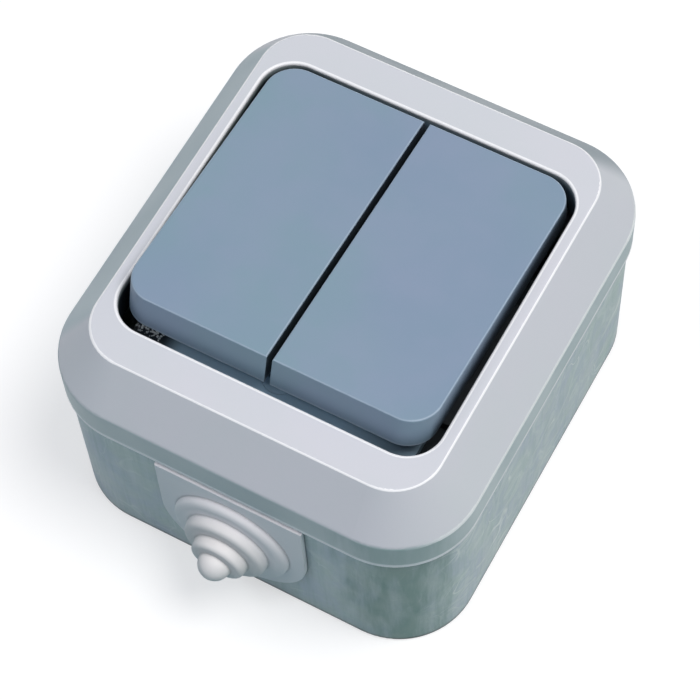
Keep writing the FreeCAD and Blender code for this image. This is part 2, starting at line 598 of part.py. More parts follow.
def make_rocker(side, sign):
    body = new_body("rocker_" + side)
    skirt_level = "rocker_rise - rocker_depth"
    profile = new_sketch(body, "rocker_profile_" + side, "YZ_Plane", "0")
    low_half = rocker_half_length + " + rocker_flare"
    add_polygon(profile, [("-1 * ( " + low_half + " )", skirt_level), (low_half, skirt_level),
                          (rocker_half_length, "rocker_rise"),
                          ("-1 * ( " + rocker_half_length + " )", "rocker_rise")])
    block = extrude(body, "Pad", "rocker_block_" + side, profile,
                    "2 * ( " + rocker_half_width + " )", both=True)
    outer = sign * number(rocker_half_width)
    rise = number("rocker_depth")

    def outer_corner(edge):
        box = edge.BoundBox
        return box.ZLength > rise - 0.1 and abs(box.XMin - outer) < 0.01 and abs(box.XMax - outer) < 0.01

    block = dress(body, "Fillet", "rocker_corners_" + side, block, outer_corner, "rocker_corner")
    block = dress(body, "Fillet", "rocker_rim_" + side, block,
                  lambda edge: flat_at(edge, number("rocker_rise")), "rocker_edge")
    hollow = new_sketch(body, "hollow_profile_" + side, "YZ_Plane", "0")
    low_in = low_half + " - rocker_wall"
    high_in = rocker_half_length + " - rocker_wall"
    add_polygon(hollow, [("-1 * ( " + low_in + " )", skirt_level), (low_in, skirt_level),
                         (high_in, ceiling), ("-1 * ( " + high_in + " )", ceiling)])
    inside = extrude(body, "Pocket", "hollow_" + side, hollow,
                     "2 * ( " + rocker_half_width + " - rocker_wall )", both=True)
    inner = sign * number(rocker_half_width + " - rocker_wall")

    def inner_corner(edge):
        box = edge.BoundBox
        return box.ZLength > 2 and abs(box.XMin - inner) < 0.01 and abs(box.XMax - inner) < 0.01

    dress(body, "Fillet", "hollow_corners_" + side, inside, inner_corner, "rocker_corner - rocker_wall")
    lugs = new_sketch(body, "lug_profile_" + side, "YZ_Plane", "0")
    foot = cradle_bottom + " - lug_play - hook_thick"
    near = "cradle_half_length + lug_play"
    hook_top = cradle_bottom + " - lug_play"
    for way in ("", "-1 * "):
        add_polygon(lugs, [(way + "( " + near + " - lug_hook )", foot),
                           (way + "( " + near + " + lug_thick )", foot),
                           (way + "( " + near + " + lug_thick )", ceiling + " + rocker_skin / 2"),
                           (way + "( " + near + " )", ceiling + " + rocker_skin / 2"),
                           (way + "( " + near + " )", hook_top),
                           (way + "( " + near + " - lug_hook )", hook_top)])
    extrude(body, "Pad", "lugs_" + side, lugs, "2 * lug_half_width", both=True)
    tilt_about_x(body, times(sign, rocker_mid), pivot_level, "rest_tilt")
    return keep(body, "rocker_" + side)


# Cradle: platform in the rocker's hooks, two legs with trunnions, tube for the spring

def make_cradle(side, sign):
    platform = centred_box("cradle_platform_" + side, "0", "0", cradle_bottom,
                           "cradle_half_width", "cradle_half_length", "cradle_thick")
    parts = [platform, make_rod("cradle_tube_" + side, "0", "0", "-1 * tube_drop", "tube_radius",
                                cradle_bottom + " + tube_drop + cradle_thick / 2")]
    pin_length = "leg_thick / 2 + ear_gap + ear_thick + trunnion_spare"
    for name, way in (("inner", "-1"), ("outer", "1")):
        middle = way + " * ( cradle_half_width - leg_thick / 2 )"
        parts.append(centred_box("cradle_leg_%s_%s" % (name, side), middle, "0", "-1 * leg_half_length",
                                 "leg_thick / 2", "leg_half_length", cradle_bottom + " + leg_half_length"))
        parts.append(make_rod("trunnion_%s_%s" % (name, side), middle, "0", "0", "trunnion_radius", pin_length,
                              Vector(int(way), 0, 0)))
    bore = make_rod("cradle_bore_" + side, "0", "0", "-1 * tube_drop - 1", "tube_bore",
                    tube_top + " + tube_drop + 1")
    cradle = subtract("cradle_" + side, join("cradle_solid_" + side, parts), [bore])
    tilt_about_x(cradle, times(sign, rocker_mid), pivot_level, "rest_tilt")
    return keep(cradle, "cradle_" + side)


# Plunger: guide head in the tube, stem with a round tip on the lever, spigot in the spring

plunger_head_bottom = "-1 * tube_drop + plunger_play"
spring_seat = "plunger_head_length - tube_drop + plunger_play"


def make_plunger(side, sign):
    tip = "-1 * ( " + plunger_reach + " - plunger_stem )"
    parts = [
        make_rod("plunger_guide_" + side, "0", "0", plunger_head_bottom, "tube_bore - plunger_head_play",
                 "plunger_head_length"),
        make_rod("plunger_stem_" + side, "0", "0", tip, "plunger_stem",
                 plunger_head_bottom + " - ( " + tip + " ) + 1"),
        make_ball("plunger_tip_" + side, "0", "0", tip, "plunger_stem"),
        make_rod("plunger_spigot_" + side, "0", "0", spring_seat + " - 1", "spigot_radius", "spigot_length + 1"),
    ]
    plunger = join("plunger_" + side, parts)
    tilt_about_x(plunger, times(sign, rocker_mid), pivot_level, "rest_tilt")
    return keep(plunger, "plunger_" + side)


def make_spring(side, sign):
    coil = doc.addObject("Part::Helix", "coil_path_" + side)
    tie(coil, "Radius", "spring_radius")
    tie(coil, "Pitch", "spring_pitch")
    tie(coil, "Height", tube_top + " - ( " + spring_seat + " ) - 2 * spring_wire - 2 * spring_play")
    section = doc.addObject("Part::Circle", "wire_section_" + side)
    tie(section, "Radius", "spring_wire")
    section.Placement = FreeCAD.Placement(Vector(0, 0, 0), FreeCAD.Rotation(Vector(0, 0, 1), Vector(0, 1, 0)))
    tie(section, "Placement.Base.x", "spring_radius")
    spring = doc.addObject("Part::Sweep", "plunger_spring_" + side)
    spring.Sections = [section]
    spring.Spine = (coil, ["Edge1"])
    spring.Solid = True
    spring.Frenet = True
    lift = spring_seat + " + spring_wire + spring_play"
    tie(coil, "Placement.Base.z", lift)
    tie(section, "Placement.Base.z", lift)
    tilt_about_x(spring, times(sign, rocker_mid), pivot_level, "rest_tilt")
    return keep(spring, "plunger_spring_" + side)


# Bearing frame: plate over the block, four ears for the trunnions, four clips on the block's sides

def make_bearing_frame():
    half_width = block_half_width + " + clip_play + clip_thick"
    plate = centred_box("frame_plate", "0", "0", block_top, half_width, frame_half_length, "frame_thick")
    solid = [plate]
    cuts = []
    clip_foot = block_top + " - clip_drop"
    for side, sign in sides:
        middle = times(sign, rocker_mid)
        cuts.append(centred_box("frame_window_" + side, middle, "0", block_top + " - 1", "chamber_half_width",
                                "chamber_half_length", "frame_thick + 2"))
        for name, way in (("inner", -1), ("outer", 1)):
            tag = name + "_" + side
            ear = f"{middle} + {way} * ( {ear_start} + ear_thick / 2 )"
            solid.append(centred_box("ear_" + tag, ear, "0", block_top, "ear_thick / 2", "ear_radius",
                                     pivot_level + " - " + block_top))
            low_end = ear + " - ear_thick / 2"
            solid.append(make_rod("ear_round_" + tag, low_end, "0", pivot_level, "ear_radius", "ear_thick",
                                  Vector(1, 0, 0)))
            cuts.append(make_rod("ear_bore_" + tag, low_end + " - 1", "0", pivot_level,
                                 "trunnion_radius + bearing_play", "ear_thick + 2", Vector(1, 0, 0)))
        for name, way in (("top", 1), ("low", -1)):
            tag = name + "_" + side
            along = times(way, clip_place)
            across = times(sign, block_half_width + " + clip_play + clip_thick / 2")
            solid.append(centred_box("clip_" + tag, across, along, clip_foot, "clip_thick / 2", "clip_width / 2",
                                     "clip_drop + frame_thick"))
            hook = times(sign, block_half_width + " + clip_play - clip_hook / 2 + clip_thick / 4")
            solid.append(centred_box("hook_" + tag, hook, along, clip_foot, "clip_hook / 2 + clip_thick / 4",
                                     "clip_width / 2", "clip_hook_height"))
    return keep(subtract("bearing_frame", join("frame_solid", solid), cuts), "bearing_frame")


# Contact block: two chambers, a channel for the common strip, three open terminal pockets, two feet

def make_mechanism_body():
    block = centred_box("block_solid", "0", "0", block_bottom, block_half_width, block_half_length,
                        block_top + " - " + block_bottom)
    feet = centred_box("block_feet", "0", "0", block_bottom, block_half_width + " + foot_reach",
                       "foot_half_width", "foot_thick")
    chamber_rise = block_top + " - " + chamber_floor + " + 1"
    pocket_length = block_half_length + " - ( " + pocket_start + " ) + 1"
    cuts = [
        centred_box("common_slot", "0", "0", chamber_floor, rocker_mid + " - chamber_half_width + 1",
                    "bar_half_width + fit_play", chamber_rise),
        make_box("common_channel", "-1 * ( strip_half_width + fit_play )", "-1 * ( " + pocket_start + " ) - 1",
                 chamber_floor, "2 * ( strip_half_width + fit_play )", pocket_start + " + 1", chamber_rise),
        make_box("common_pocket", "-1 * pocket_half_width", "-1 * " + block_half_length + " - 1", pocket_floor,
                 "2 * pocket_half_width", pocket_length, block_top + " - " + pocket_floor + " + 1"),
    ]
    for side, sign in sides:
        middle = times(sign, rocker_mid)
        cuts.append(centred_box("chamber_" + side, middle, "0", chamber_floor, "chamber_half_width",
                                "chamber_half_length", chamber_rise))
        cuts.append(make_box("tongue_slot_" + side, middle + " - strip_half_width - fit_play",
                             "chamber_half_length - 1", chamber_floor, "2 * ( strip_half_width + fit_play )",
                             "pocket_wall + 2", "strip_thick + fit_play"))
        cuts.append(make_box("pocket_" + side, middle + " - pocket_half_width", pocket_start, pocket_floor,
                             "2 * pocket_half_width", pocket_length, block_top + " - " + pocket_floor + " + 1"))
        cuts.append(centred_box("core_" + side, middle, "0", block_bottom + " - 1", "chamber_half_width + 1",
                                core_half_length, chamber_floor + " - core_roof - " + block_bottom + " + 1"))
        cuts.append(make_rod("foot_hole_" + side, times(sign, foot_screw_place), "0", block_bottom + " - 1",
                             "foot_screw_radius + screw_play", "foot_thick + 2"))
        for name, way in (("top", 1), ("low", -1)):
            cuts.append(centred_box("clip_recess_%s_%s" % (name, side), times(sign, block_half_width),
                                    times(way, clip_place),
                                    block_top + " - clip_drop - clip_play", "clip_hook",
                                    "clip_width / 2 + clip_play", "clip_hook_height + 2 * clip_play"))
    return keep(subtract("mechanism_body", join("block_whole", [block, feet]), cuts), "mechanism_body")


# Contact lever: flat strip that rocks on the knife edge, drawn about that edge

def make_contact_lever(side, sign):
    strip = centred_box("lever_strip_" + side, "0", "0", "0",
                        "lever_half_width", lever_half_length, "lever_thick")
    hole = make_rod("lever_hole_" + side, "0", contact_offset, "-1",
                    "rivet_radius + screw_play", "lever_thick + 2")
    lever = subtract("contact_lever_" + side, strip, [hole])
    tilt_about_x(lever, times(sign, rocker_mid), lever_level, "-1 * lever_ratio * rest_tilt")
    return keep(lever, "contact_lever_" + side)


def make_moving_contact(side, sign):
    parts = [
        make_rod("contact_face_" + side, "0", contact_offset, "-1 * contact_thick", "contact_radius",
                 "contact_thick"),
        make_rod("rivet_shank_" + side, "0", contact_offset, "-1 * contact_thick / 2", "rivet_radius",
                 "contact_thick / 2 + lever_thick + rivet_head_thick / 2"),
        make_rod("rivet_top_" + side, "0", contact_offset, "lever_thick", "rivet_head", "rivet_head_thick"),
    ]
    contact = join("moving_contact_" + side, parts)
    tilt_about_x(contact, times(sign, rocker_mid), lever_level, "-1 * lever_ratio * rest_tilt")
    return keep(contact, "moving_contact_" + side)


# Common strip: bar under both levers, tail to the terminal, one knife edge for each lever

def make_common_terminal():
    parts = [
        centred_box("common_bar", "0", "0", chamber_floor, rocker_mid + " + strip_half_width",
                    "bar_half_width", "strip_thick"),
        make_box("common_tail", "-1 * strip_half_width", "-1 * ( " + cage_start + " + cage_length )",
                 chamber_floor, "2 * strip_half_width", cage_start + " + cage_length", "strip_thick"),
    ]
    for side, sign in sides:
        blade = doc.addObject("Part::Wedge", "blade_" + side)
        for prop, text in (("Xmin", "-1 * strip_half_width"), ("Xmax", "strip_half_width"),
                           ("X2min", "-1 * strip_half_width"), ("X2max", "strip_half_width"),
                           ("Zmin", "-1 * blade_thick / 2"), ("Zmax", "blade_thick / 2"),
                           ("Z2min", "-1 * blade_edge / 2"), ("Z2max", "blade_edge / 2"),
                           ("Ymin", "0"), ("Ymax", lever_level + " - blade_play - " + chamber_floor)):
            tie(blade, prop, text)
        blade.Placement = FreeCAD.Placement(Vector(0, 0, 0), FreeCAD.Rotation(Vector(1, 0, 0), 90))
        put(blade, times(sign, rocker_mid), "0", chamber_floor)
        parts.append(blade)
    return keep(join("common_terminal", parts), "common_terminal")


def make_output_terminal(side, sign):
    middle = times(sign, rocker_mid)
    start = contact_offset + " - contact_radius - tongue_margin"
    tongue = make_box("output_terminal_" + side, middle + " - strip_half_width", start, chamber_floor,
                      "2 * strip_half_width", f"{cage_start} + cage_length - ( {start} )", "strip_thick")
    return keep(tongue, "output_terminal_" + side)


def make_fixed_contact(side, sign):
    reach = f"( {contact_offset} + contact_radius ) * sin(lever_ratio * rest_tilt)"
    height = f"{lever_level} - {reach} - contact_thick * cos(lever_ratio * rest_tilt) - contact_play - {strip_top}"
    contact = make_rod("fixed_contact_" + side, times(sign, rocker_mid),
                       contact_offset + " * cos(lever_ratio * rest_tilt)", strip_top, "contact_radius", height)
    return keep(contact, "fixed_contact_" + side)


# The three terminals stand at the outer end of each output strip and of the common tail

terminal_places = [(times(sign, rocker_mid), 1, side) for side, sign in sides] + [("0", -1, "common")]


def make_terminal_clamps():
    cages = []
    for x, way, name in terminal_places:
        y = times(way, cage_middle)
        block = centred_box("cage_block_" + name, x, y, cage_bottom, "cage_half_width", "cage_length / 2",
                            "cage_height")
        passage = centred_box("cage_passage_" + name, x, y, cage_bottom + " + cage_wall",
                              "cage_half_width - cage_wall + fit_play", "cage_length / 2 + 1",
                              "cage_height - 2.2 * cage_wall")
        hole = make_rod("cage_hole_" + name, x, y, strip_top, "clamp_screw_radius + screw_play", "cage_height")
        cages.append(subtract("cage_" + name, block, [passage, hole]))
    return keep(group("terminal_clamps", cages), "terminal_clamps")


def slotted_screw(name, x, y, tip, radius, length, head_radius, head_height):
    """Cylinder-head screw from its tip upwards, with a driver slot along X."""
    shank = make_rod(name + "_shank", x, y, tip, radius, length + " + ( " + head_height + " ) / 2")
    head = make_rod(name + "_head", x, y, tip + " + " + length, head_radius, head_height)
    groove = centred_box(name + "_slot", x, y, f"{tip} + {length} + {head_height} - slot_depth",
                         head_radius + " + 1", "slot_width / 2", "slot_depth + 1")
    return subtract(name, join(name + "_solid", [shank, head]), [groove])


def make_terminal_screws():
    screws = [slotted_screw("clamp_screw_" + name, x, times(way, cage_middle),
                            strip_top + " + screw_play", "clamp_screw_radius", "clamp_screw_rise",
                            "clamp_screw_head", "clamp_screw_head_height")
              for x, way, name in terminal_places]
    return keep(group("terminal_screws", screws), "terminal_screws")


def make_mechanism_screws():
    tip = block_bottom + " + foot_thick - foot_screw_length"
    screws = [slotted_screw("foot_screw_" + side, times(sign, foot_screw_place), "0", tip, "foot_screw_radius",
                            "foot_screw_length", "foot_screw_head", "foot_screw_head_height")
              for side, sign in sides]
    return keep(group("mechanism_screws", screws), "mechanism_screws")


def make_cover_screws():
    screws = []
    head_height = "cover_screw_head - cover_screw_radius"
    for name, way in (("top", ""), ("low", "-1 * ")):
        y = way + post_place
        face = ledge_level + " - screw_play"
        head = make_cone("cover_screw_head_" + name, "0", y, face + " - ( " + head_height + " )",
                         "cover_screw_radius", "cover_screw_head", head_height)
        shank = make_rod("cover_screw_shank_" + name, "0", y, face + " - cover_screw_length",
                         "cover_screw_radius", "cover_screw_length - slot_depth / 4")
        groove = centred_box("cover_screw_slot_" + name, "0", y, face + " - slot_depth", "cover_screw_head + 1",
                             "slot_width / 2", "slot_depth + 1")
        solid = join("cover_screw_solid_" + name, [head, shank])
        screws.append(subtract("cover_screw_" + name, solid, [groove]))
    return keep(group("cover_screws", screws), "cover_screws")


make_back_box()
make_front_cover()
make_cover_gasket()
make_cable_grommet()
for side, sign in sides:
    make_rocker(side, sign)
    make_cradle(side, sign)
    make_plunger(side, sign)
    make_spring(side, sign)
    make_contact_lever(side, sign)
    make_moving_contact(side, sign)
    make_output_terminal(side, sign)
    make_fixed_contact(side, sign)
make_bearing_frame()
make_mechanism_body()
make_common_terminal()
make_terminal_clamps()
make_terminal_screws()
make_mechanism_screws()
make_cover_screws()
doc.recompute()

# Every object has to be sound before anything is written

for thing in doc.Objects:
    if "Invalid" in thing.State or "Error" in thing.State:
        raise RuntimeError("failed: " + thing.Label)
for thing in subparts:
    if thing.Shape.isNull() or not thing.Shape.isValid() or not thing.Shape.Solids:
        raise RuntimeError("no sound solid: " + thing.Label)

os.makedirs("parts", exist_ok=True)
for thing in subparts:
    thing.Shape.exportStep("parts/" + thing.Label + ".step")
    box = thing.Shape.BoundBox
    print("%-22s solids %d volume %9.2f  z %6.2f to %6.2f" % (
        thing.Label, len(thing.Shape.Solids), thing.Shape.Volume, box.ZMin, box.ZMax))
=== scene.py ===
# Splash-proof double rocker switch, seen from the side of its cable grommet
import json
import math

import bmesh
import bpy
from mathutils import Matrix, Vector


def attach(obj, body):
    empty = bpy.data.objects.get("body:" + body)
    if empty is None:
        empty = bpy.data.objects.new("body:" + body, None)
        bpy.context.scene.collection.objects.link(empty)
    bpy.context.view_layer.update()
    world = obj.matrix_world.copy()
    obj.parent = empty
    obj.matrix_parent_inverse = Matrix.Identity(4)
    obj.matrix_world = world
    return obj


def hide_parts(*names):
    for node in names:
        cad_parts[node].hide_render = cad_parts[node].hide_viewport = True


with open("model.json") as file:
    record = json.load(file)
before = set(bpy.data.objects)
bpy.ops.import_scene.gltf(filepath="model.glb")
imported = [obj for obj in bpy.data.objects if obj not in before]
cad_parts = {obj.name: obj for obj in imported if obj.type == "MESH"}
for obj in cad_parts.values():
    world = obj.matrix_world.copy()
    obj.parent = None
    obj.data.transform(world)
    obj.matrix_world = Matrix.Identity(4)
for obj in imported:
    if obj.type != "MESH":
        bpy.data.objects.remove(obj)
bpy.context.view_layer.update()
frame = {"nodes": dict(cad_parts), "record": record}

scene = bpy.context.scene
mm = 0.001
print("frame loaded:", len(frame["nodes"]), "nodes")


# Camera, above the corner between the grommet side and the left side

cameraView = {
    "turn": 212.35,            # degrees about the upright axis
    "tilt": 28.56,             # degrees away from looking straight down
    "roll": -4.14,
    "aim": (-1.6, 3.9, 20.0),  # millimetres
    "distance": 383.0,
    "focal": 2570.0 / 700.0,   # in frame widths
    "sensor": 36.0,
    "clip": (0.01, 20.0),      # metres
}


def makeCamera(view):
    data = bpy.data.cameras.new("productCamera")
    data.sensor_width = view["sensor"]
    data.lens = view["focal"] * view["sensor"]
    data.clip_start, data.clip_end = view["clip"]
    camera = bpy.data.objects.new("productCamera", data)
    scene.collection.objects.link(camera)
    turn = (Matrix.Rotation(math.radians(view["turn"]), 4, "Z")
            @ Matrix.Rotation(math.radians(view["tilt"]), 4, "X")
            @ Matrix.Rotation(math.radians(view["roll"]), 4, "Z"))
    spot = Vector(view["aim"]) + turn.to_3x3() @ Vector((0, 0, view["distance"]))
    camera.matrix_world = Matrix.Translation(spot * mm) @ turn
    scene.camera = camera


makeCamera(cameraView)
print("camera placed")


# Small helpers for node trees

def tone(red, green, blue):    # a screen colour from 0 to 255, made linear
    parts = [part / 255 for part in (red, green, blue)]
    return tuple(((part + 0.055) / 1.055) ** 2.4 if part > 0.04 else part / 12.92 for part in parts) + (1.0,)


def addNode(tree, kind, links=None, **settings):
    node = tree.nodes.new(kind)
    for key, value in settings.items():
        setattr(node, key, value)
    for socket, source in (links or {}).items():
        if isinstance(source, bpy.types.NodeSocket):
            tree.links.new(source, node.inputs[socket])
        else:
            node.inputs[socket].default_value = source
    return node


geometry = "NodeSocketGeometry"
finish = "NodeSocketMaterial"
socketKinds = {float: "NodeSocketFloat", int: "NodeSocketInt", tuple: "NodeSocketVector"}


def newTree(name, kind, inputs, outputs):    # an input is given by its first value, or by its kind alone
    tree = bpy.data.node_groups.new(name, kind)
    for label, value in inputs.items():
        socketKind = socketKinds.get(type(value), value)
        socket = tree.interface.new_socket(name=label, in_out="INPUT", socket_type=socketKind)
        if socketKind != value:
            socket.default_value = value
    outKind = geometry if kind == "GeometryNodeTree" else socketKinds[float]
    for label in outputs:
        tree.interface.new_socket(name=label, in_out="OUTPUT", socket_type=outKind)
    return tree, addNode(tree, "NodeGroupInput").outputs, addNode(tree, "NodeGroupOutput").inputs


def calc(tree, operation, first, second=0.0, third=0.0, clamp=False):
    values = {0: first, 1: second, 2: third}
    return addNode(tree, "ShaderNodeMath", values, operation=operation, use_clamp=clamp).outputs[0]


def mathStep(operation):
    def step(tree, *values, clamp=False):
        return calc(tree, operation, *values, clamp=clamp)
    return step


plus, minus, times, over = [mathStep(name) for name in ("ADD", "SUBTRACT", "MULTIPLY", "DIVIDE")]
timesPlus, larger, smaller = [mathStep(name) for name in ("MULTIPLY_ADD", "MAXIMUM", "MINIMUM")]


def spread(tree, value, low, high, newLow=0.0, newHigh=1.0):
    node = addNode(tree, "ShaderNodeMapRange", {0: value, 1: low, 2: high, 3: newLow, 4: newHigh},
                   interpolation_type="SMOOTHSTEP")
    return node.outputs[0]


def mixColour(tree, factor, first, second):
    return addNode(tree, "ShaderNodeMix", {0: factor, 6: first, 7: second}, data_type="RGBA").outputs[2]


def noise(tree, place, scale, detail=3.0, rough=0.55, warp=0.0):
    node = addNode(tree, "ShaderNodeTexNoise", {"Vector": place, "Scale": scale, "Detail": detail,
                                                "Roughness": rough, "Distortion": warp})
    return node.outputs["Fac"]


def shifted(tree, place, shift=(0, 0, 0), scale=(1, 1, 1)):
    return addNode(tree, "ShaderNodeMapping", {"Vector": place, "Location": shift, "Scale": scale}).outputs[0]


def vectorStep(tree, operation, first, second, socket=1, result=0):
    node = addNode(tree, "ShaderNodeVectorMath", {0: first, socket: second}, operation=operation)
    return node.outputs[result]


def triple(tree, x=0.0, y=0.0, z=0.0):
    return addNode(tree, "ShaderNodeCombineXYZ", {0: x, 1: y, 2: z}).outputs[0]


def split(tree, vector):
    return addNode(tree, "ShaderNodeSeparateXYZ", {0: vector}).outputs


def objectPlace(tree):
    return addNode(tree, "ShaderNodeTexCoord").outputs["Object"]


def facingWay(tree):    # which way the surface looks
    return split(tree, addNode(tree, "ShaderNodeNewGeometry").outputs["Normal"])


def inMetres(*lengths):
    return [length * mm for length in lengths]


# Table, sky and lamps

studio = {
    "tableSize": 6.0,
    "tableSeen": (0.52, 0.52, 0.52, 1),       # for the camera and for reflections
    "tableGlow": 0.56,                        # keeps the paper white and the shadow on it light
    "tableBounce": tone(96, 134, 139),        # what lights the upright sides
    "tableRough": 0.9, "tableSpecular": 0.1,
    "skySeen": (1.0, 1.0, 1.0, 1),
    "skyTop": tone(216, 218, 230),
    "skyNear": tone(84, 115, 144),            # towards the grommet side
    "skyFar": tone(44, 52, 54),               # away from it
    "skyLeft": tone(128, 132, 130),
    "skyRight": tone(40, 72, 70),
    "skyStrength": 0.585,
    "rise": (0.05, 0.95), "fromFar": (-0.7, 0.5), "toLeft": (-0.35, -0.8), "toRight": (0.35, 0.8),
    "lamps": [
        # name, direction, distance, size, watts, tint
        ("keyLamp", (-0.34, -0.06, 0.87), 1.25, 0.60, 9.9, (1.0, 0.985, 0.96)),
        ("creaseLamp", (0.26, 0.36, 0.90), 1.10, 0.16, 1.2, (0.93, 0.96, 1.0)),
    ],
}


def seenDirectly(tree):    # 1 for what the camera, a reflection or a refraction shows
    path = addNode(tree, "ShaderNodeLightPath").outputs
    seen = larger(tree, path["Is Camera Ray"], path["Is Glossy Ray"])
    return larger(tree, seen, path["Is Transmission Ray"])


def makeTable(look):
    half = look["tableSize"] / 2
    mesh = bpy.data.meshes.new("table")
    corners = [(-half, -half, 0), (half, -half, 0), (half, half, 0), (-half, half, 0)]
    mesh.from_pydata(corners, [], [(0, 1, 2, 3)])
    table = bpy.data.objects.new("table", mesh)
    scene.collection.objects.link(table)
    mat = bpy.data.materials.new("tablePaper")
    mat.use_nodes = True
    tree = mat.node_tree
    shader = tree.nodes["Principled BSDF"]
    colour = mixColour(tree, seenDirectly(tree), look["tableBounce"], look["tableSeen"])
    tree.links.new(colour, shader.inputs["Base Color"])
    tree.links.new(seenDirectly(tree), shader.inputs["Emission Color"])
    shader.inputs["Emission Strength"].default_value = look["tableGlow"]
    shader.inputs["Roughness"].default_value = look["tableRough"]
    shader.inputs["Specular IOR Level"].default_value = look["tableSpecular"]
    mesh.materials.append(mat)


def makeSky(look):
    world = bpy.data.worlds.new("studioSky")
    world.use_nodes = True
    tree = world.node_tree
    way = split(tree, addNode(tree, "ShaderNodeTexCoord").outputs["Generated"])
    rim = mixColour(tree, spread(tree, way["Y"], *look["fromFar"]), look["skyFar"], look["skyNear"])
    rim = mixColour(tree, spread(tree, way["X"], *look["toLeft"]), rim, look["skyLeft"])
    rim = mixColour(tree, spread(tree, way["X"], *look["toRight"]), rim, look["skyRight"])
    light = mixColour(tree, spread(tree, way["Z"], *look["rise"]), rim, look["skyTop"])
    seen = addNode(tree, "ShaderNodeLightPath").outputs["Is Camera Ray"]
    strength = spread(tree, seen, 0.0, 1.0, look["skyStrength"], 1.0)
    back = tree.nodes["Background"]
    tree.links.new(mixColour(tree, seen, light, look["skySeen"]), back.inputs["Color"])
    tree.links.new(strength, back.inputs["Strength"])
    scene.world = world


def makeLamps(look):
    for name, direction, distance, size, watts, tint in look["lamps"]:
        data = bpy.data.lights.new(name, "AREA")
        data.shape = "DISK"
        data.size = size
        data.energy = watts
        data.color = tint
        lamp = bpy.data.objects.new(name, data)
        way = Vector(direction).normalized()
        lamp.location = way * distance
        lamp.rotation_euler = way.to_track_quat("Z", "Y").to_euler()
        scene.collection.objects.link(lamp)


makeTable(studio)
makeSky(studio)
makeLamps(studio)
scene.view_settings.view_transform = "Standard"
print("studio ready")


# Effects that several finishes share

skinPattern = {
    "pitScale": 0.55, "pitDepth": 0.6,        # pits, against the grain between them
    "driftScale": 0.4, "streakScale": 7.0,    # against the scale of the clouds
    "streakSquash": 0.07,                     # makes the streaks long up and down
    "cloud": (0.36, 0.66), "drift": (0.38, 0.64), "streak": (0.42, 0.68),    # where each fades in
}
scuffPattern = {
    "swirlScale": 70.0, "swirlPull": 0.022,    # how the arcs are bent
    "layers": [((0, 0, 0), 1.0), ((0.013, 0.027, 0.008), 1.7)],    # shift and scale of each layer of arcs
    "gateScale": 95.0, "gate": (0.5, 0.62), "patch": (0.42, 0.68),
}
cornerDarkPattern = {
    "runScale": 330.0, "runSquash": 0.16, "run": (0.36, 0.62), "ragged": 0.006,
    "between": 0.65,    # how much of the darkening is left between the streaks
    "upright": (0.12, 0.45),
}
wearAndHighlightPattern = {"soft": (0.08, 0.05), "unevenScale": 420.0, "uneven": (0.34, 0.6)}
dustPattern = {"dot": (0.1, 0.22), "driftScale": 130.0, "drift": (0.72, 0.78), "flat": (0.5, 0.95)}


def buildMouldedSkin(look):    # fine spark-eroded grain, slow clouds of colour, upright flow streaks
    tree, given, result = newTree("mouldedSkin", "ShaderNodeTree", {
        "Grain Scale": 2400.0, "Cloud Scale": 60.0}, ["Grain", "Cloud", "Drift", "Streak"])
    place = objectPlace(tree)
    pitScale = times(tree, given["Grain Scale"], look["pitScale"])
    pits = addNode(tree, "ShaderNodeTexVoronoi", {"Vector": place, "Scale": pitScale}).outputs["Distance"]
    grain = noise(tree, place, given["Grain Scale"], 2.0, 0.68)
    tree.links.new(timesPlus(tree, pits, look["pitDepth"], grain), result["Grain"])
    cloud = noise(tree, place, given["Cloud Scale"], 4.0, 0.6)
    tree.links.new(spread(tree, cloud, *look["cloud"]), result["Cloud"])
    driftScale = times(tree, given["Cloud Scale"], look["driftScale"])
    drift = noise(tree, shifted(tree, place, (0.31, 0.17, 0.05)), driftScale)
    tree.links.new(spread(tree, drift, *look["drift"]), result["Drift"])
    tall = shifted(tree, place, (0.07, 0.02, 0), (1, 1, look["streakSquash"]))
    streak = noise(tree, tall, times(tree, given["Cloud Scale"], look["streakScale"]), 4.0, 0.6)
    tree.links.new(spread(tree, streak, *look["streak"]), result["Streak"])
    return tree


def buildEdgeWearAndHighlight(look):    # lighter lines where a rounded edge turns and along a rim: wear on some finishes, a painted highlight line where the colour is near white
    tree, given, result = newTree("edgeWearAndHighlight", "ShaderNodeTree", {
        "Turn From": 0.4, "Turn To": 0.95, "Rim Level": -1.0, "Rim Width": 0.0002, "Rim Axis": (0, 0, 1),
        "Break Up": 0.4}, ["Edge"])
    place = objectPlace(tree)
    tilt = facingWay(tree)["Z"]
    start = spread(tree, tilt, given["Turn From"], plus(tree, given["Turn From"], look["soft"][0]))
    stop = spread(tree, tilt, minus(tree, given["Turn To"], look["soft"][1]), given["Turn To"], 1.0, 0.0)
    level = vectorStep(tree, "DOT_PRODUCT", place, given["Rim Axis"], result="Value")
    away = calc(tree, "ABSOLUTE", minus(tree, level, given["Rim Level"]))
    rim = spread(tree, away, times(tree, given["Rim Width"], 0.5), given["Rim Width"], 1.0, 0.0)
    uneven = spread(tree, noise(tree, place, look["unevenScale"], 2.0, 0.65), *look["uneven"], 1.0, 0.0)
    kept = minus(tree, 1.0, times(tree, uneven, given["Break Up"]))
    edge = larger(tree, times(tree, start, stop), rim)
    tree.links.new(times(tree, edge, kept, clamp=True), result["Edge"])
    return tree


def buildCreaseShade():    # how far a spot is tucked away behind its neighbours
    tree, given, result = newTree("creaseShade", "ShaderNodeTree", {"Reach": 0.002, "Power": 1.0}, ["Crease"])
    shade = addNode(tree, "ShaderNodeAmbientOcclusion", {"Distance": given["Reach"]}, samples=2).outputs["AO"]
    tucked = minus(tree, 1.0, shade, clamp=True)
    tree.links.new(calc(tree, "POWER", tucked, given["Power"]), result["Crease"])
    return tree


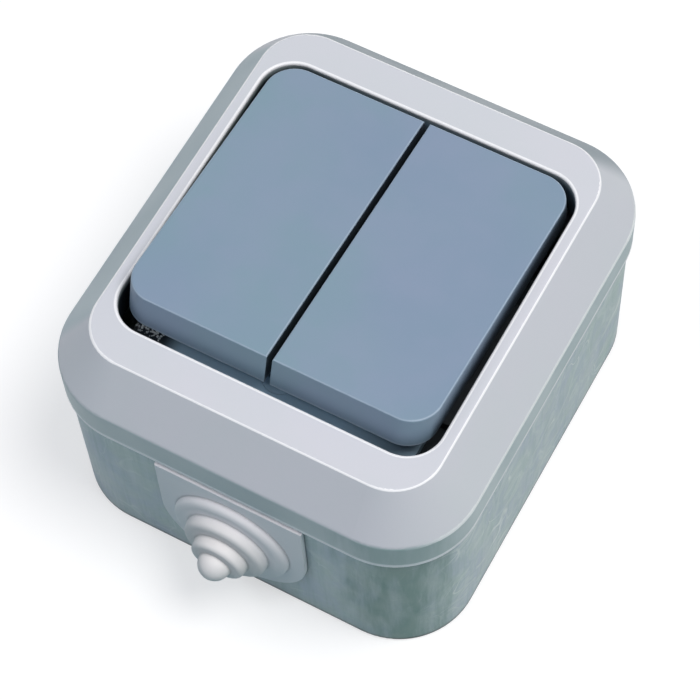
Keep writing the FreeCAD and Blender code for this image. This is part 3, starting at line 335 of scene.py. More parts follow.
def buildSwirlScuffs(look):    # cloudy rubbed patches crossed by thin broken arcs
    tree, given, result = newTree("swirlScuffs", "ShaderNodeTree", {
        "Arc Scale": 150.0, "Patch Scale": 160.0, "Width": 0.012}, ["Arcs", "Patches"])
    place = objectPlace(tree)
    swirl = addNode(tree, "ShaderNodeTexNoise", {"Vector": place, "Scale": look["swirlScale"], "Detail": 2.0})
    middle = vectorStep(tree, "SUBTRACT", swirl.outputs["Color"], (0.5, 0.5, 0.5))
    pull = vectorStep(tree, "SCALE", middle, look["swirlPull"], socket="Scale")
    bent = vectorStep(tree, "ADD", place, pull)
    layers = []
    for shift, factor in look["layers"]:
        cellScale = times(tree, given["Arc Scale"], factor)
        spot = shifted(tree, bent, shift)
        cells = addNode(tree, "ShaderNodeTexVoronoi", {"Vector": spot, "Scale": cellScale},
                        feature="DISTANCE_TO_EDGE").outputs["Distance"]
        line = spread(tree, cells, 0.0, given["Width"], 1.0, 0.0)
        gate = spread(tree, noise(tree, shifted(tree, place, shift), look["gateScale"], 3.0), *look["gate"])
        layers.append(times(tree, line, gate))
    tree.links.new(larger(tree, *layers, clamp=True), result["Arcs"])
    patches = noise(tree, bent, given["Patch Scale"], 6.0, 0.66, 1.2)
    tree.links.new(spread(tree, patches, *look["patch"]), result["Patches"])
    return tree


def buildLooseDust(look):    # pale specks that settle on faces which look up
    tree, given, result = newTree("looseDust", "ShaderNodeTree", {
        "Speck Scale": 2600.0, "Cover": 0.1}, ["Dust"])
    place = objectPlace(tree)
    specks = addNode(tree, "ShaderNodeTexVoronoi", {"Vector": place, "Scale": given["Speck Scale"]})
    dots = spread(tree, specks.outputs["Distance"], *look["dot"], 1.0, 0.0)
    low, high = look["drift"]
    drift = spread(tree, noise(tree, place, look["driftScale"], 2.0), minus(tree, low, given["Cover"]), high)
    flat = spread(tree, facingWay(tree)["Z"], *look["flat"])
    tree.links.new(times(tree, times(tree, dots, drift), flat, clamp=True), result["Dust"])
    return tree


def buildCornerStain(look):    # darker green streaks on the upright faces around one corner
    tree, given, result = newTree("cornerStain", "ShaderNodeTree", {
        "Towards": (-0.5, 0.866, 0), "From": 0.0390, "To": 0.0430}, ["Stain"])
    place = objectPlace(tree)
    reach = vectorStep(tree, "DOT_PRODUCT", place, given["Towards"], result="Value")
    tall = shifted(tree, place, (0.01, 0.03, 0), (1, 1, look["runSquash"]))
    runs = noise(tree, tall, look["runScale"], 4.0, 0.62)
    ragged = timesPlus(tree, minus(tree, runs, 0.5), look["ragged"], reach)
    shade = timesPlus(tree, spread(tree, runs, *look["run"]), 1 - look["between"], look["between"])
    cornerDark = times(tree, spread(tree, ragged, given["From"], given["To"]), shade)
    upright = spread(tree, facingWay(tree)["Z"], *look["upright"], 1.0, 0.0)
    tree.links.new(times(tree, cornerDark, upright, clamp=True), result["Stain"])
    return tree


def buildDrawnMetal():    # fine lines along the strip and spots of tarnish
    tree, given, result = newTree("drawnMetal", "ShaderNodeTree", {
        "Line Scale": 5200.0, "Spot Scale": 700.0, "Stretch": (1, 0.04, 1)}, ["Lines", "Tarnish"])
    place = objectPlace(tree)
    along = vectorStep(tree, "MULTIPLY", place, given["Stretch"])
    tree.links.new(noise(tree, along, given["Line Scale"], 4.0, 0.7), result["Lines"])
    spots = noise(tree, place, given["Spot Scale"], 6.0, 0.7, 0.6)
    tree.links.new(spread(tree, spots, 0.48, 0.72), result["Tarnish"])
    return tree


effects = {
    "skin": buildMouldedSkin(skinPattern),
    "edges": buildEdgeWearAndHighlight(wearAndHighlightPattern),
    "creases": buildCreaseShade(),
    "scuffs": buildSwirlScuffs(scuffPattern),
    "dust": buildLooseDust(dustPattern),
    "cornerDark": buildCornerStain(cornerDarkPattern),
    "metal": buildDrawnMetal(),
}


def useEffect(tree, name, values):
    return addNode(tree, "ShaderNodeGroup", values, node_tree=effects[name]).outputs


def newFinish(name, rough):
    mat = bpy.data.materials.new(name)
    mat.use_nodes = True
    shader = mat.node_tree.nodes["Principled BSDF"]
    shader.inputs["Roughness"].default_value = rough
    return mat, mat.node_tree, shader


def coat(tree, look, name, mask, under):    # one more layer, as strong as its amount says
    return mixColour(tree, times(tree, mask, look[name + "Amount"]), under, look[name])


def closeFinish(tree, shader, look, colour, polish, height):
    bump = addNode(tree, "ShaderNodeBump", {"Strength": look["grainStrength"], "Distance": look["grainDepth"],
                                            "Height": height})
    for socket, source in (("Base Color", colour), ("Roughness", polish), ("Normal", bump.outputs[0])):
        tree.links.new(source, shader.inputs[socket])


def makePlastic(look):
    mat, tree, shader = newFinish(look["name"], look["rough"])
    skin = useEffect(tree, "skin", {"Grain Scale": look["grainScale"], "Cloud Scale": look["cloudScale"]})
    edgeMarks = useEffect(tree, "edges", {"Turn From": look["turn"][0], "Turn To": look["turn"][1],
                                     "Break Up": look["breakUp"], "Rim Level": look["rimLevel"] * mm,
                                     "Rim Width": look["rimWidth"] * mm, "Rim Axis": look["rimAxis"]})
    creases = useEffect(tree, "creases", {"Reach": look["creaseReach"], "Power": look["creasePower"]})
    tucked = creases["Crease"]
    colour = coat(tree, look, "drift", skin["Drift"], look["colour"])
    colour = coat(tree, look, "cloud", skin["Cloud"], colour)
    height = skin["Grain"]
    polish = timesPlus(tree, skin["Cloud"], look["roughSpread"], look["rough"])
    if "streak" in look:
        colour = coat(tree, look, "streak", skin["Streak"], colour)
    if "scuff" in look:
        scuffs = useEffect(tree, "scuffs", look["scuffSizes"])
        rubbed = spread(tree, facingWay(tree)["X"], *look["rubbedSide"])
        colour = coat(tree, look, "patch", times(tree, scuffs["Patches"], rubbed), colour)
        colour = coat(tree, look, "scuff", times(tree, scuffs["Arcs"], rubbed), colour)
        height = timesPlus(tree, scuffs["Arcs"], look["scuffHeight"], height)
        polish = timesPlus(tree, scuffs["Patches"], look["patchRough"], polish)
    if "upright" in look:    # painted shade: skirts and walls darker and greener than what looks up
        facing = facingWay(tree)
        wall = spread(tree, facing["Z"], *look["wallTilt"], 1.0, 0.0)
        colour = coat(tree, look, "upright", wall, colour)
        # painted shade, darker and greener, on faces that look towards +X
        colour = mixColour(tree, spread(tree, facing["X"], *look["plusXShadeTilt"]), colour, look["plusXShade"])
        below = times(tree, facing["Y"], -1.0)    # painted shade on faces that look away from the grommet side
        colour = mixColour(tree, spread(tree, below, *look["farSideShadeTilt"]), colour, look["farSideShade"])
    # darker green streaks on the upright faces around one corner
    if "cornerDark" in look:
        colour = coat(tree, look, "cornerDark", useEffect(tree, "cornerDark", {})["Stain"], colour)
    if "tip" in look:
        along = spread(tree, split(tree, objectPlace(tree))["Y"], *look["tipRange"])
        colour = mixColour(tree, along, colour, look["tip"])
    # lighter edges: wear, and on the cover and rockers painted highlight lines
    colour = coat(tree, look, "edge", edgeMarks["Edge"], colour)
    # painted highlight line along the window's rounded edge
    if "lip" in look:
        colour = mixColour(tree, windowLip(tree, look["lip"]), colour, look["edge"])
    # the ledges take the well colour, with painted shade near black towards the window's sides
    if "well" in look:
        low = mixColour(tree, wellEnds(tree, look), look["well"], look["wellEndShade"])
        colour = mixColour(tree, insideWell(tree, look["wellBox"]), colour, low)
    if "rub" in look:    # painted highlight, near white, along the lower edge of the slope on the side that faces the key lamp
        facing = facingWay(tree)
        start = spread(tree, facing["Z"], *look["rubFrom"])
        stop = spread(tree, facing["Z"], *look["rubTo"], 1.0, 0.0)
        band = times(tree, times(tree, start, stop), spread(tree, facing["X"], *look["rubSide"]))
        colour = coat(tree, look, "rub", band, colour)
    # painted shade: the crease colour where the occlusion mask finds creases, gaps and hollows
    paintedShade = times(tree, tucked, look["creaseAmount"], clamp=True)
    if "foot" in look:    # painted shade: a dark contact line where the box meets the surface it stands on
        level = split(tree, objectPlace(tree))["Z"]
        line = spread(tree, level, *inMetres(*look["foot"]), 1.0, 0.0)
        beside = spread(tree, facingWay(tree)["Z"], *look["footTilt"])
        paintedShade = larger(tree, paintedShade, times(tree, line, beside))
    if "gapShadeAmount" in look:    # painted shade: the narrow gaps beside a rocker darker than its ends
        sideways = spread(tree, calc(tree, "ABSOLUTE", facingWay(tree)["X"]), *look["sideTilt"])
        near = times(tree, spread(tree, tucked, *look["sideTucked"]), look["gapShadeAmount"])
        paintedShade = larger(tree, paintedShade, times(tree, sideways, near))
    colour = mixColour(tree, paintedShade, colour, look["crease"])
    if "dust" in look:
        dust = useEffect(tree, "dust", {"Cover": look["dustCover"]})["Dust"]
        colour = coat(tree, look, "dust", dust, colour)
    closeFinish(tree, shader, look, colour, polish, height)
    shader.inputs["Specular IOR Level"].default_value = look["specular"]
    shader.inputs["IOR"].default_value = look["ior"]
    return mat


def makeMetal(look):
    mat, tree, shader = newFinish(look["name"], look["rough"])
    shader.inputs["Metallic"].default_value = 1.0
    skin = useEffect(tree, "metal", {"Line Scale": look["lineScale"], "Spot Scale": look["spotScale"],
                                     "Stretch": look["stretch"]})
    edgeMarks = useEffect(tree, "edges", {"Turn From": look["turn"][0], "Turn To": look["turn"][1],
                                     "Break Up": look["breakUp"]})
    tucked = useEffect(tree, "creases", {"Reach": look["creaseReach"]})["Crease"]
    colour = coat(tree, look, "line", skin["Lines"], look["colour"])
    colour = coat(tree, look, "tarnish", skin["Tarnish"], colour)
    colour = mixColour(tree, times(tree, tucked, look["creaseAmount"]), colour, look["tarnish"])
    colour = coat(tree, look, "edge", edgeMarks["Edge"], colour)
    polish = timesPlus(tree, skin["Tarnish"], look["roughSpread"], look["rough"])
    closeFinish(tree, shader, look, colour, polish, skin["Lines"])
    return mat


def windowLip(tree, lip):    # 1 along the rounded edge of the window, where a painted highlight line goes
    spot = split(tree, objectPlace(tree))
    out = [minus(tree, calc(tree, "ABSOLUTE", spot[axis]), (half - lip["corner"]) * mm)
           for axis, half in (("X", lip["halfX"]), ("Y", lip["halfY"]))]
    past = [larger(tree, value, 0.0) for value in out]
    corner = calc(tree, "SQRT", timesPlus(tree, past[0], past[0], times(tree, past[1], past[1])))
    inner = smaller(tree, larger(tree, *out), 0.0)
    away = minus(tree, plus(tree, corner, inner), lip["corner"] * mm)
    start = spread(tree, away, *inMetres(*lip["start"]))
    stop = spread(tree, away, *inMetres(*lip["stop"]), 1.0, 0.0)
    high = spread(tree, spot["Z"], *inMetres(*lip["level"]))
    return times(tree, times(tree, start, stop), high)


def wellEnds(tree, look):    # 1 near the sides of the window, where the ledges stop and painted shade goes
    across = split(tree, objectPlace(tree))["X"]
    right = spread(tree, across, *inMetres(*look["endRight"]))
    left = times(tree, spread(tree, across, *inMetres(*look["endLeft"])), look["endLeftAmount"])
    return larger(tree, right, left)


def insideWell(tree, box):    # 1 below the bezel and inside the window, where the ledges are
    spot = split(tree, objectPlace(tree))
    inside = 1.0
    for axis, limit, soft in box:
        reach = spot[axis] if axis == "Z" else calc(tree, "ABSOLUTE", spot[axis])
        inside = times(tree, inside, spread(tree, reach, *inMetres(limit - soft, limit), 1.0, 0.0))
    return inside


plainSkin = {    # shared by every plastic, and changed where a piece differs
    "grainScale": 2400.0, "grainDepth": 0.00002, "grainStrength": 0.5, "cloudScale": 60.0,
    "driftAmount": 0.5, "cloudAmount": 0.35, "roughSpread": 0.08, "breakUp": 0.35,
    "turn": (0.15, 0.96),      # between which upward tilts of the surface an edge counts as rounded
    "rimLevel": -5.0, "rimWidth": 0.2, "rimAxis": (0, 0, 1), "edgeAmount": 0.5,
    "creaseReach": 0.002, "creasePower": 1.0, "creaseAmount": 0.5,
    "specular": 0.5, "ior": 1.49,
}
plainMetal = {    # the same for metals
    "grainDepth": 0.00002, "grainStrength": 0.5, "roughSpread": 0.25, "turn": (0.15, 0.96), "breakUp": 0.5,
    "edgeAmount": 0.6, "creaseReach": 0.0015, "creaseAmount": 0.5,
}


# Front cover: satin light grey, its creases and the skirt's lower rim painted almost white as highlight lines

coverLook = {
    "name": "coverPlastic", "rough": 0.40,
    "colour": tone(213, 215, 221), "drift": tone(208, 214, 216), "cloud": tone(216, 214, 222),
    # painted highlight lines on the bezel crease, the window edge and the skirt's lower rim
    "edge": tone(254, 254, 255), "edgeAmount": 1.0, "turn": (0.63, 0.993), "breakUp": 0.12,
    "rimLevel": 28.5, "rimWidth": 1.05,
    "lip": {"halfX": 25.6, "halfY": 25.2, "corner": 5.4,    # millimetres, as in the next lines
            "start": (-0.08, 0.04), "stop": (0.36, 0.58), "level": (41.1, 41.4)},
    "well": tone(166, 196, 216), "wellEndShade": tone(34, 44, 52),
    "wellBox": [("X", 25.75, 0.1), ("Y", 25.35, 0.1), ("Z", 41.3, 1.2)],    # limit and softness
    "endRight": (14.5, 18.0), "endLeft": (-10.0, -22.5), "endLeftAmount": 0.62,
    # painted shade on upright faces, on faces towards +X and on faces away from the grommet side
    "upright": tone(186, 202, 204), "uprightAmount": 0.95, "wallTilt": (0.2, 0.5),
    "plusXShade": tone(187, 202, 207), "plusXShadeTilt": (0.73, 0.79),
    "farSideShade": tone(140, 153, 160), "farSideShadeTilt": (0.55, 0.79),
    # painted highlight along the slope's lower edge on the key lamp's side
    "rub": tone(252, 254, 254), "rubAmount": 1.0,
    "rubFrom": (0.02, 0.16), "rubTo": (0.40, 0.56), "rubSide": (-0.55, -0.9),
    "cornerDark": tone(150, 178, 176), "cornerDarkAmount": 0.85,
    # painted shade in creases and recesses
    "crease": tone(30, 46, 56), "creaseAmount": 0.5, "creaseReach": 0.0030, "creasePower": 1.3,
    "grainScale": 3000.0, "grainStrength": 0.35,
    "dust": tone(226, 228, 226), "dustCover": 0.12, "dustAmount": 0.35,
}

# Surface box: the same grey gone greenish, rubbed cloudy and scratched in arcs

boxLook = {
    "name": "boxPlastic", "rough": 0.46,
    "colour": tone(206, 216, 217), "drift": tone(186, 208, 200), "driftAmount": 0.75,
    "cloud": tone(206, 214, 226), "cloudAmount": 0.75, "cloudScale": 150.0,
    "streak": tone(162, 188, 184), "streakAmount": 0.38,
    # painted contact shade along the foot of the box
    "foot": (0.48, 1.2), "footTilt": (-0.95, -0.6, 0.0, 0.85),    # height in millimetres; not on the back
    "patch": tone(234, 241, 238), "patchAmount": 0.72,
    "scuff": tone(250, 254, 250), "scuffAmount": 0.85, "scuffHeight": -0.8, "patchRough": 0.12,
    "rubbedSide": (0.2, -0.7, 0.35, 1.0),    # one side was dragged about more
    "scuffSizes": {"Arc Scale": 76.0, "Patch Scale": 190.0, "Width": 0.028},
    "cornerDark": tone(122, 156, 148), "cornerDarkAmount": 0.95,
    "edge": tone(222, 230, 228), "edgeAmount": 0.4,
    "crease": tone(40, 58, 58), "creaseAmount": 0.6, "creaseReach": 0.0022,
}

# Rockers: blue-grey, with a thin paler line painted on every edge as a highlight, and painted shade near
# black in the gaps

rockerLook = {
    "name": "rockerPlastic", "rough": 0.42,
    "colour": tone(134, 154, 176), "drift": tone(132, 159, 172), "driftAmount": 1.0,
    "cloud": tone(142, 156, 180), "cloudAmount": 0.55, "cloudScale": 52.0,
    # painted highlight lines on the rounded edges and along the lower rim
    "edge": tone(168, 186, 202), "edgeAmount": 0.85, "turn": (0.5, 0.97), "breakUp": 0.3,
    "rimLevel": 39.107, "rimWidth": 0.34, "rimAxis": (0, -0.0776, 0.997),
    "crease": tone(13, 20, 26), "creaseAmount": 0.85, "creaseReach": 0.0035, "creasePower": 1.8,
    "gapShadeAmount": 0.93, "sideTilt": (0.88, 0.995), "sideTucked": (0.03, 0.30),
    "grainScale": 3200.0, "grainStrength": 0.4,
}

# Grommet: soft pale rubber, with painted shade in the folds between its rings

grommetLook = {
    "name": "grommetRubber", "rough": 0.55,
    "colour": tone(255, 251, 252), "drift": tone(250, 249, 250), "cloud": tone(255, 252, 254),
    "tip": tone(234, 231, 230), "tipRange": (0.0372, 0.0400),
    "edge": tone(255, 255, 255), "edgeAmount": 0.1,
    "crease": tone(48, 54, 66), "creaseAmount": 1.4, "creaseReach": 0.0005, "creasePower": 1.8,
    "grainScale": 1700.0, "grainStrength": 0.5, "specular": 0.4,
}

crumbLook = {
    "name": "crumbPlastic", "rough": 0.6,
    "colour": tone(222, 230, 234), "drift": tone(246, 250, 250), "driftAmount": 1.0,
    "cloud": tone(170, 184, 194), "cloudScale": 900.0,
    "edge": tone(214, 220, 222), "crease": tone(60, 72, 82),
}

gasketLook = {
    "name": "gasketRubber", "rough": 0.62,
    "colour": tone(38, 38, 40), "drift": tone(46, 46, 46), "cloud": tone(54, 53, 52),
    "edge": tone(74, 74, 74), "crease": tone(14, 14, 15), "grainScale": 1900.0, "specular": 0.35,
}

blockLook = {    # contact block coloured dark as painted shade, so the deep gaps under the rockers stay dark; faintly speckled
    "name": "blockThermoset", "rough": 0.50,
    "colour": tone(60, 70, 78), "drift": tone(54, 64, 72), "cloud": tone(68, 76, 82), "cloudScale": 420.0,
    "edge": tone(94, 102, 108), "crease": tone(22, 28, 32), "grainScale": 2100.0,
}

# frame coloured dark grey as painted shade, so the deep gaps under the rockers stay dark
frameLook = {
    "name": "frameNylon", "rough": 0.44,
    "colour": tone(86, 92, 100), "drift": tone(80, 88, 94), "cloud": tone(96, 100, 106),
    "edge": tone(124, 130, 136), "crease": tone(24, 28, 32),
}

plungerLook = {
    "name": "plungerAcetal", "rough": 0.36,
    "colour": tone(46, 47, 50), "drift": tone(40, 42, 46), "cloud": tone(56, 56, 58),
    "edge": tone(86, 88, 90), "crease": tone(16, 16, 18), "grainScale": 3600.0,
}

zincLook = {
    "name": "zincPlatedSteel", "rough": 0.30, "lineScale": 3000.0, "spotScale": 600.0, "stretch": (1, 1, 0.3),
    "colour": tone(196, 198, 202), "line": tone(172, 176, 182), "lineAmount": 0.5,
    "tarnish": tone(128, 128, 126), "tarnishAmount": 0.5, "edge": tone(226, 226, 228),
}

coatedLook = {    # the two screws under the rockers are painted like the ledge they sit in
    "name": "paintedScrewHead", "rough": 0.45,
    "colour": tone(166, 196, 216), "drift": tone(150, 180, 200), "cloud": tone(172, 198, 216),
    "edge": tone(190, 206, 216), "edgeAmount": 0.2, "crease": tone(60, 76, 90), "creaseReach": 0.001,
}

wireLook = {
    "name": "drawnSpringWire", "rough": 0.26, "lineScale": 9000.0, "spotScale": 1500.0,
    "stretch": (1, 1, 0.5), "colour": tone(176, 177, 182), "line": tone(140, 142, 148), "lineAmount": 0.6,
    "tarnish": tone(92, 88, 84), "tarnishAmount": 0.4, "edge": tone(206, 207, 210),
}

brassLook = {
    "name": "stampedBrass", "rough": 0.28, "lineScale": 6000.0, "spotScale": 420.0, "stretch": (1, 0.05, 1),
    "colour": tone(214, 182, 108), "line": tone(190, 154, 86), "lineAmount": 0.55,
    "tarnish": tone(134, 98, 58), "tarnishAmount": 0.55, "edge": tone(234, 208, 142),
}

silverLook = {
    "name": "silverRivet", "rough": 0.22, "lineScale": 5200.0, "spotScale": 1400.0, "stretch": (1, 1, 1),
    "colour": tone(226, 224, 218), "line": tone(204, 202, 196), "lineAmount": 0.4,
    "tarnish": tone(120, 112, 100), "tarnishAmount": 0.5, "edge": tone(242, 241, 238),
}

plastics = {
    "cover_plastic": coverLook, "box_plastic": boxLook, "rocker_plastic": rockerLook,
    "grommet_rubber": grommetLook, "gasket_rubber": gasketLook, "block_plastic": blockLook,
    "frame_plastic": frameLook, "plunger_plastic": plungerLook,
}
metals = {"zinc_steel": zincLook, "spring_steel": wireLook, "brass": brassLook, "contact_silver": silverLook}
finishes = {slot: makePlastic(plainSkin | look) for slot, look in plastics.items()}
finishes |= {slot: makeMetal(plainMetal | look) for slot, look in metals.items()}


def paint(piece, mat):
    piece.data.materials.clear()
    piece.data.materials.append(mat)


for entry in frame["record"]["subparts"]:
    paint(frame["nodes"][entry["node"]], finishes[entry["material_slot"]])
print("finishes given:", len(finishes))


# Geometry Nodes: a tree is built once, run on a seed mesh, and kept as plain faces

def shapeNode(tree, kind, links=None, **settings):
    return addNode(tree, "GeometryNode" + kind, links, **settings).outputs[0]


def closeTree(tree, source, result, material, sharp=0.7):    # smooth faces, crisp where they meet steeply
    solid = shapeNode(tree, "RealizeInstances", {0: source})
    smooth = shapeNode(tree, "SetShadeSmooth", {0: solid})
    steep = calc(tree, "GREATER_THAN", shapeNode(tree, "InputMeshEdgeAngle"), sharp)
    crisp = shapeNode(tree, "SetShadeSmooth", {0: smooth, 1: steep, 2: False}, domain="EDGE")
    tree.links.new(shapeNode(tree, "SetMaterial", {0: crisp, 2: material}), result[0])


def movedBy(tree, shape, offset):
    return shapeNode(tree, "Transform", {0: shape, "Translation": offset})


def swept(tree, path, sides, radius):    # a round bar along a path
    profile = shapeNode(tree, "CurvePrimitiveCircle", {"Resolution": sides, "Radius": radius})
    return shapeNode(tree, "CurveToMesh", {0: path, 1: profile, "Fill Caps": True})


def chance(tree, seed, low, high, kind="FLOAT"):    # a random value between low and high
    at, result = (0, 0) if kind == "FLOAT_VECTOR" else (2, 1)
    limits = {at: low, at + 1: high, "Seed": seed}
    return addNode(tree, "FunctionNodeRandomValue", limits, data_type=kind).outputs[result]


def runTree(name, tree, values, seed, slotName):
    piece = bpy.data.objects.new(name, seed)
    scene.collection.objects.link(piece)
    modifier = piece.modifiers.new("shape", "NODES")
    modifier.node_group = tree
    given = values | {"Finish": finishes[slotName]}
    for item in tree.interface.items_tree:
        if item.in_out == "INPUT" and item.name in given:
            modifier[item.identifier] = given[item.name]
    graph = bpy.context.evaluated_depsgraph_get()
    shaped = piece.evaluated_get(graph)
    solid = bpy.data.meshes.new_from_object(shaped, preserve_all_data_layers=True, depsgraph=graph)
    piece.modifiers.clear()
    piece.data = solid
    solid.name = name
    return piece


def inputsFrom(look, lengths, others):    # the keys of the look are the tree's labels in camel case
    values = {}
    for labels, unit in ((lengths, mm), (others, 1)):
        for label in labels:
            values[label] = look[label[0].lower() + label[1:].replace(" ", "")] * unit
    return values


def pointSeed(name, places):    # a mesh of loose points, in millimetres
    mesh = bpy.data.meshes.new(name)
    mesh.from_pydata([Vector(place) * mm for place in places], [], [])
    return mesh


# Grommet: rings stepped down to a closed nub, each a rounded shoulder over a tight fold

grommet = {
    "axisLevel": 16.0,     # of the cable above the back, millimetres
    "wall": 35.9,          # outer face of the box at its rim
    "rings": 3, "nubRadius": 2.55, "ringStep": 1.85, "ringGrowth": 0.45,
    "ringPitch": 1.9, "ringStart": 0.35,
    "fold": 0.3,          # how deep the face of a ring dips where the next one stands on it
    "foldPower": 10.0,    # how tight that dip is
    "fullness": 0.50,     # 1 is a round shoulder, 0 a square one
    "around": 96, "perRing": 18, "weld": 0.01, "sharp": 0.9,
    # name, half width, top, inner face, outer face; all from the cable axis and the wall
    "layers": [("plate", 12.0, 11.9, 0.1, 0.9), ("web", 10.7, 12.1, -2.7, 0.1),
               ("lipWeb", 10.7, 16.4, -2.7, -1.4), ("flange", 12.0, 16.1, -3.6, -2.7)],
    "plateEdge": 0.16, "plateSharp": 0.6, "arcSteps": 40,
}


def buildRingTree(look):
    tree, given, result = newTree("steppedRings", "GeometryNodeTree", {
        "Seed": geometry, "Rings": 3, "Nub Radius": 0.003, "Ring Step": 0.002, "Ring Growth": 0.0,
        "Ring Pitch": 0.002, "Fold": 0.0, "Ring Start": 0.001, "Fullness": 0.6, "Around": 64, "Per Ring": 12,
        "Wall": 0.0, "Axis Level": 0.0, "Finish": finish}, ["Shape"])
    rings = given["Rings"]
    rows = plus(tree, times(tree, plus(tree, rings, 2.0), given["Per Ring"]), 1.0)
    columns = plus(tree, given["Around"], 1.0)
    grid = shapeNode(tree, "MeshGrid", {"Size X": 1.0, "Size Y": 1.0, "Vertices X": rows,
                                        "Vertices Y": columns})
    index = shapeNode(tree, "InputIndex")
    row = calc(tree, "FLOOR", over(tree, plus(tree, index, 0.5), columns))
    column = minus(tree, index, times(tree, row, columns))
    turn = times(tree, over(tree, column, given["Around"]), 2 * math.pi)
    along = over(tree, row, given["Per Ring"])
    # band 0 is the foot, the next ones are the rings, the last is the nub's dome
    band = calc(tree, "FLOOR", plus(tree, along, 0.0001))
    band = smaller(tree, band, plus(tree, rings, 1.0))
    part = minus(tree, along, band, clamp=True)
    bend = times(tree, part, math.pi / 2)
    out = larger(tree, calc(tree, "COSINE", bend), 0.0)
    up = calc(tree, "SINE", bend)
    fullOut = calc(tree, "POWER", out, given["Fullness"])
    fullUp = calc(tree, "POWER", up, given["Fullness"])

    def radiusAfter(steps):    # each ring is wider than the one before it
        grown = times(tree, times(tree, steps, minus(tree, steps, 1.0)), 0.5)
        plain = timesPlus(tree, steps, given["Ring Step"], given["Nub Radius"])
        return timesPlus(tree, grown, given["Ring Growth"], plain)

    before = minus(tree, rings, band)
    inner = radiusAfter(before)
    width = minus(tree, radiusAfter(plus(tree, before, 1.0)), inner)
    ringRadius = timesPlus(tree, fullOut, width, inner)
    step = plus(tree, minus(tree, band, 1.0), fullUp)
    dip = times(tree, calc(tree, "POWER", part, look["foldPower"]), given["Fold"])
    ringHeight = minus(tree, timesPlus(tree, step, given["Ring Pitch"], given["Ring Start"]), dip)
    footRadius = radiusAfter(rings)
    footHeight = times(tree, part, given["Ring Start"])
    nubRadius = times(tree, out, given["Nub Radius"])
    nubBase = timesPlus(tree, rings, given["Ring Pitch"], given["Ring Start"])
    nubHeight = timesPlus(tree, up, given["Nub Radius"], nubBase)
    isFoot = calc(tree, "LESS_THAN", band, 0.5)
    isNub = calc(tree, "GREATER_THAN", band, plus(tree, rings, 0.5))

    def choose(test, no, yes):
        return shapeNode(tree, "Switch", {0: test, 1: no, 2: yes}, input_type="FLOAT")

    radius = choose(isNub, choose(isFoot, ringRadius, footRadius), nubRadius)
    height = choose(isNub, choose(isFoot, ringHeight, footHeight), nubHeight)
    side = times(tree, radius, calc(tree, "COSINE", turn))
    rise = timesPlus(tree, radius, calc(tree, "SINE", turn), given["Axis Level"])
    place = triple(tree, side, plus(tree, height, given["Wall"]), rise)
    moved = shapeNode(tree, "SetPosition", {0: grid, "Position": place})
    merged = shapeNode(tree, "MergeByDistance", {0: moved, "Distance": look["weld"] * mm})
    closeTree(tree, merged, result, given["Finish"], sharp=look["sharp"])
    return tree


def makePlateMesh(look):    # U-shaped plate, the web through the notch and the flange inside the box
    shape = bmesh.new()
    arc = [math.pi * (1 + step / look["arcSteps"]) for step in range(look["arcSteps"] + 1)]
    for name, half, top, inner, outer in look["layers"]:
        outline = [(-half, top)] + [(half * math.cos(a), half * math.sin(a)) for a in arc] + [(half, top)]
        face = look["wall"] + outer
        corners = [shape.verts.new(Vector((x, face, look["axisLevel"] + z)) * mm) for x, z in outline]
        cap = shape.faces.new(corners)
        body = bmesh.ops.extrude_face_region(shape, geom=[cap])
        moved = [item for item in body["geom"] if isinstance(item, bmesh.types.BMVert)]
        bmesh.ops.translate(shape, verts=moved, vec=Vector((0, inner - outer, 0)) * mm)
        if name == "plate":
            rim = [edge for edge in shape.edges if all(abs(v.co.y - face * mm) < 1e-7 for v in edge.verts)]
            bmesh.ops.bevel(shape, geom=rim, offset=look["plateEdge"] * mm, segments=3, profile=0.6,
                            affect="EDGES")
    bmesh.ops.recalc_face_normals(shape, faces=shape.faces)
    mesh = bpy.data.meshes.new("grommetPlate")
    shape.to_mesh(mesh)
    shape.free()
    mesh.materials.append(finishes["grommet_rubber"])
    for polygon in mesh.polygons:
        polygon.use_smooth = True
    mesh.set_sharp_from_angle(angle=look["plateSharp"])
    return mesh


def makeGrommet(look):
    values = inputsFrom(look, ["Nub Radius", "Ring Step", "Ring Growth", "Fold", "Ring Pitch", "Ring Start",
                               "Wall", "Axis Level"], ["Rings", "Fullness", "Around", "Per Ring"])
    rings = runTree("grommet_rings", buildRingTree(look), values, pointSeed("ringSeed", [(0, 0, 0)]),
                    "grommet_rubber")
    shell = bmesh.new()
    shell.from_mesh(rings.data)
    bmesh.ops.recalc_face_normals(shell, faces=shell.faces)
    shell.to_mesh(rings.data)
    shell.free()
    plate = bpy.data.objects.new("grommet_plate", makePlateMesh(look))
    scene.collection.objects.link(plate)
    for piece in (rings, plate):
        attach(piece, "housing")
        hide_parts("cable_grommet")


makeGrommet(grommet)
print("grommet made")


# Plunger springs: closed end turns, open turns between, one coil in each rocker

springs = {
    "coilRadius": 1.6, "wireRadius": 0.2, "turns": 7.2, "low": 1.63, "height": 6.72,
    "pivot": 31.3, "middle": 12.4, "tilt": 4.45,
    "turnSteps": 28, "wireSides": 12, "sharp": 0.9,
    "closedPitch": 2.05,    # of the flat end turns, in radii of the wire
}


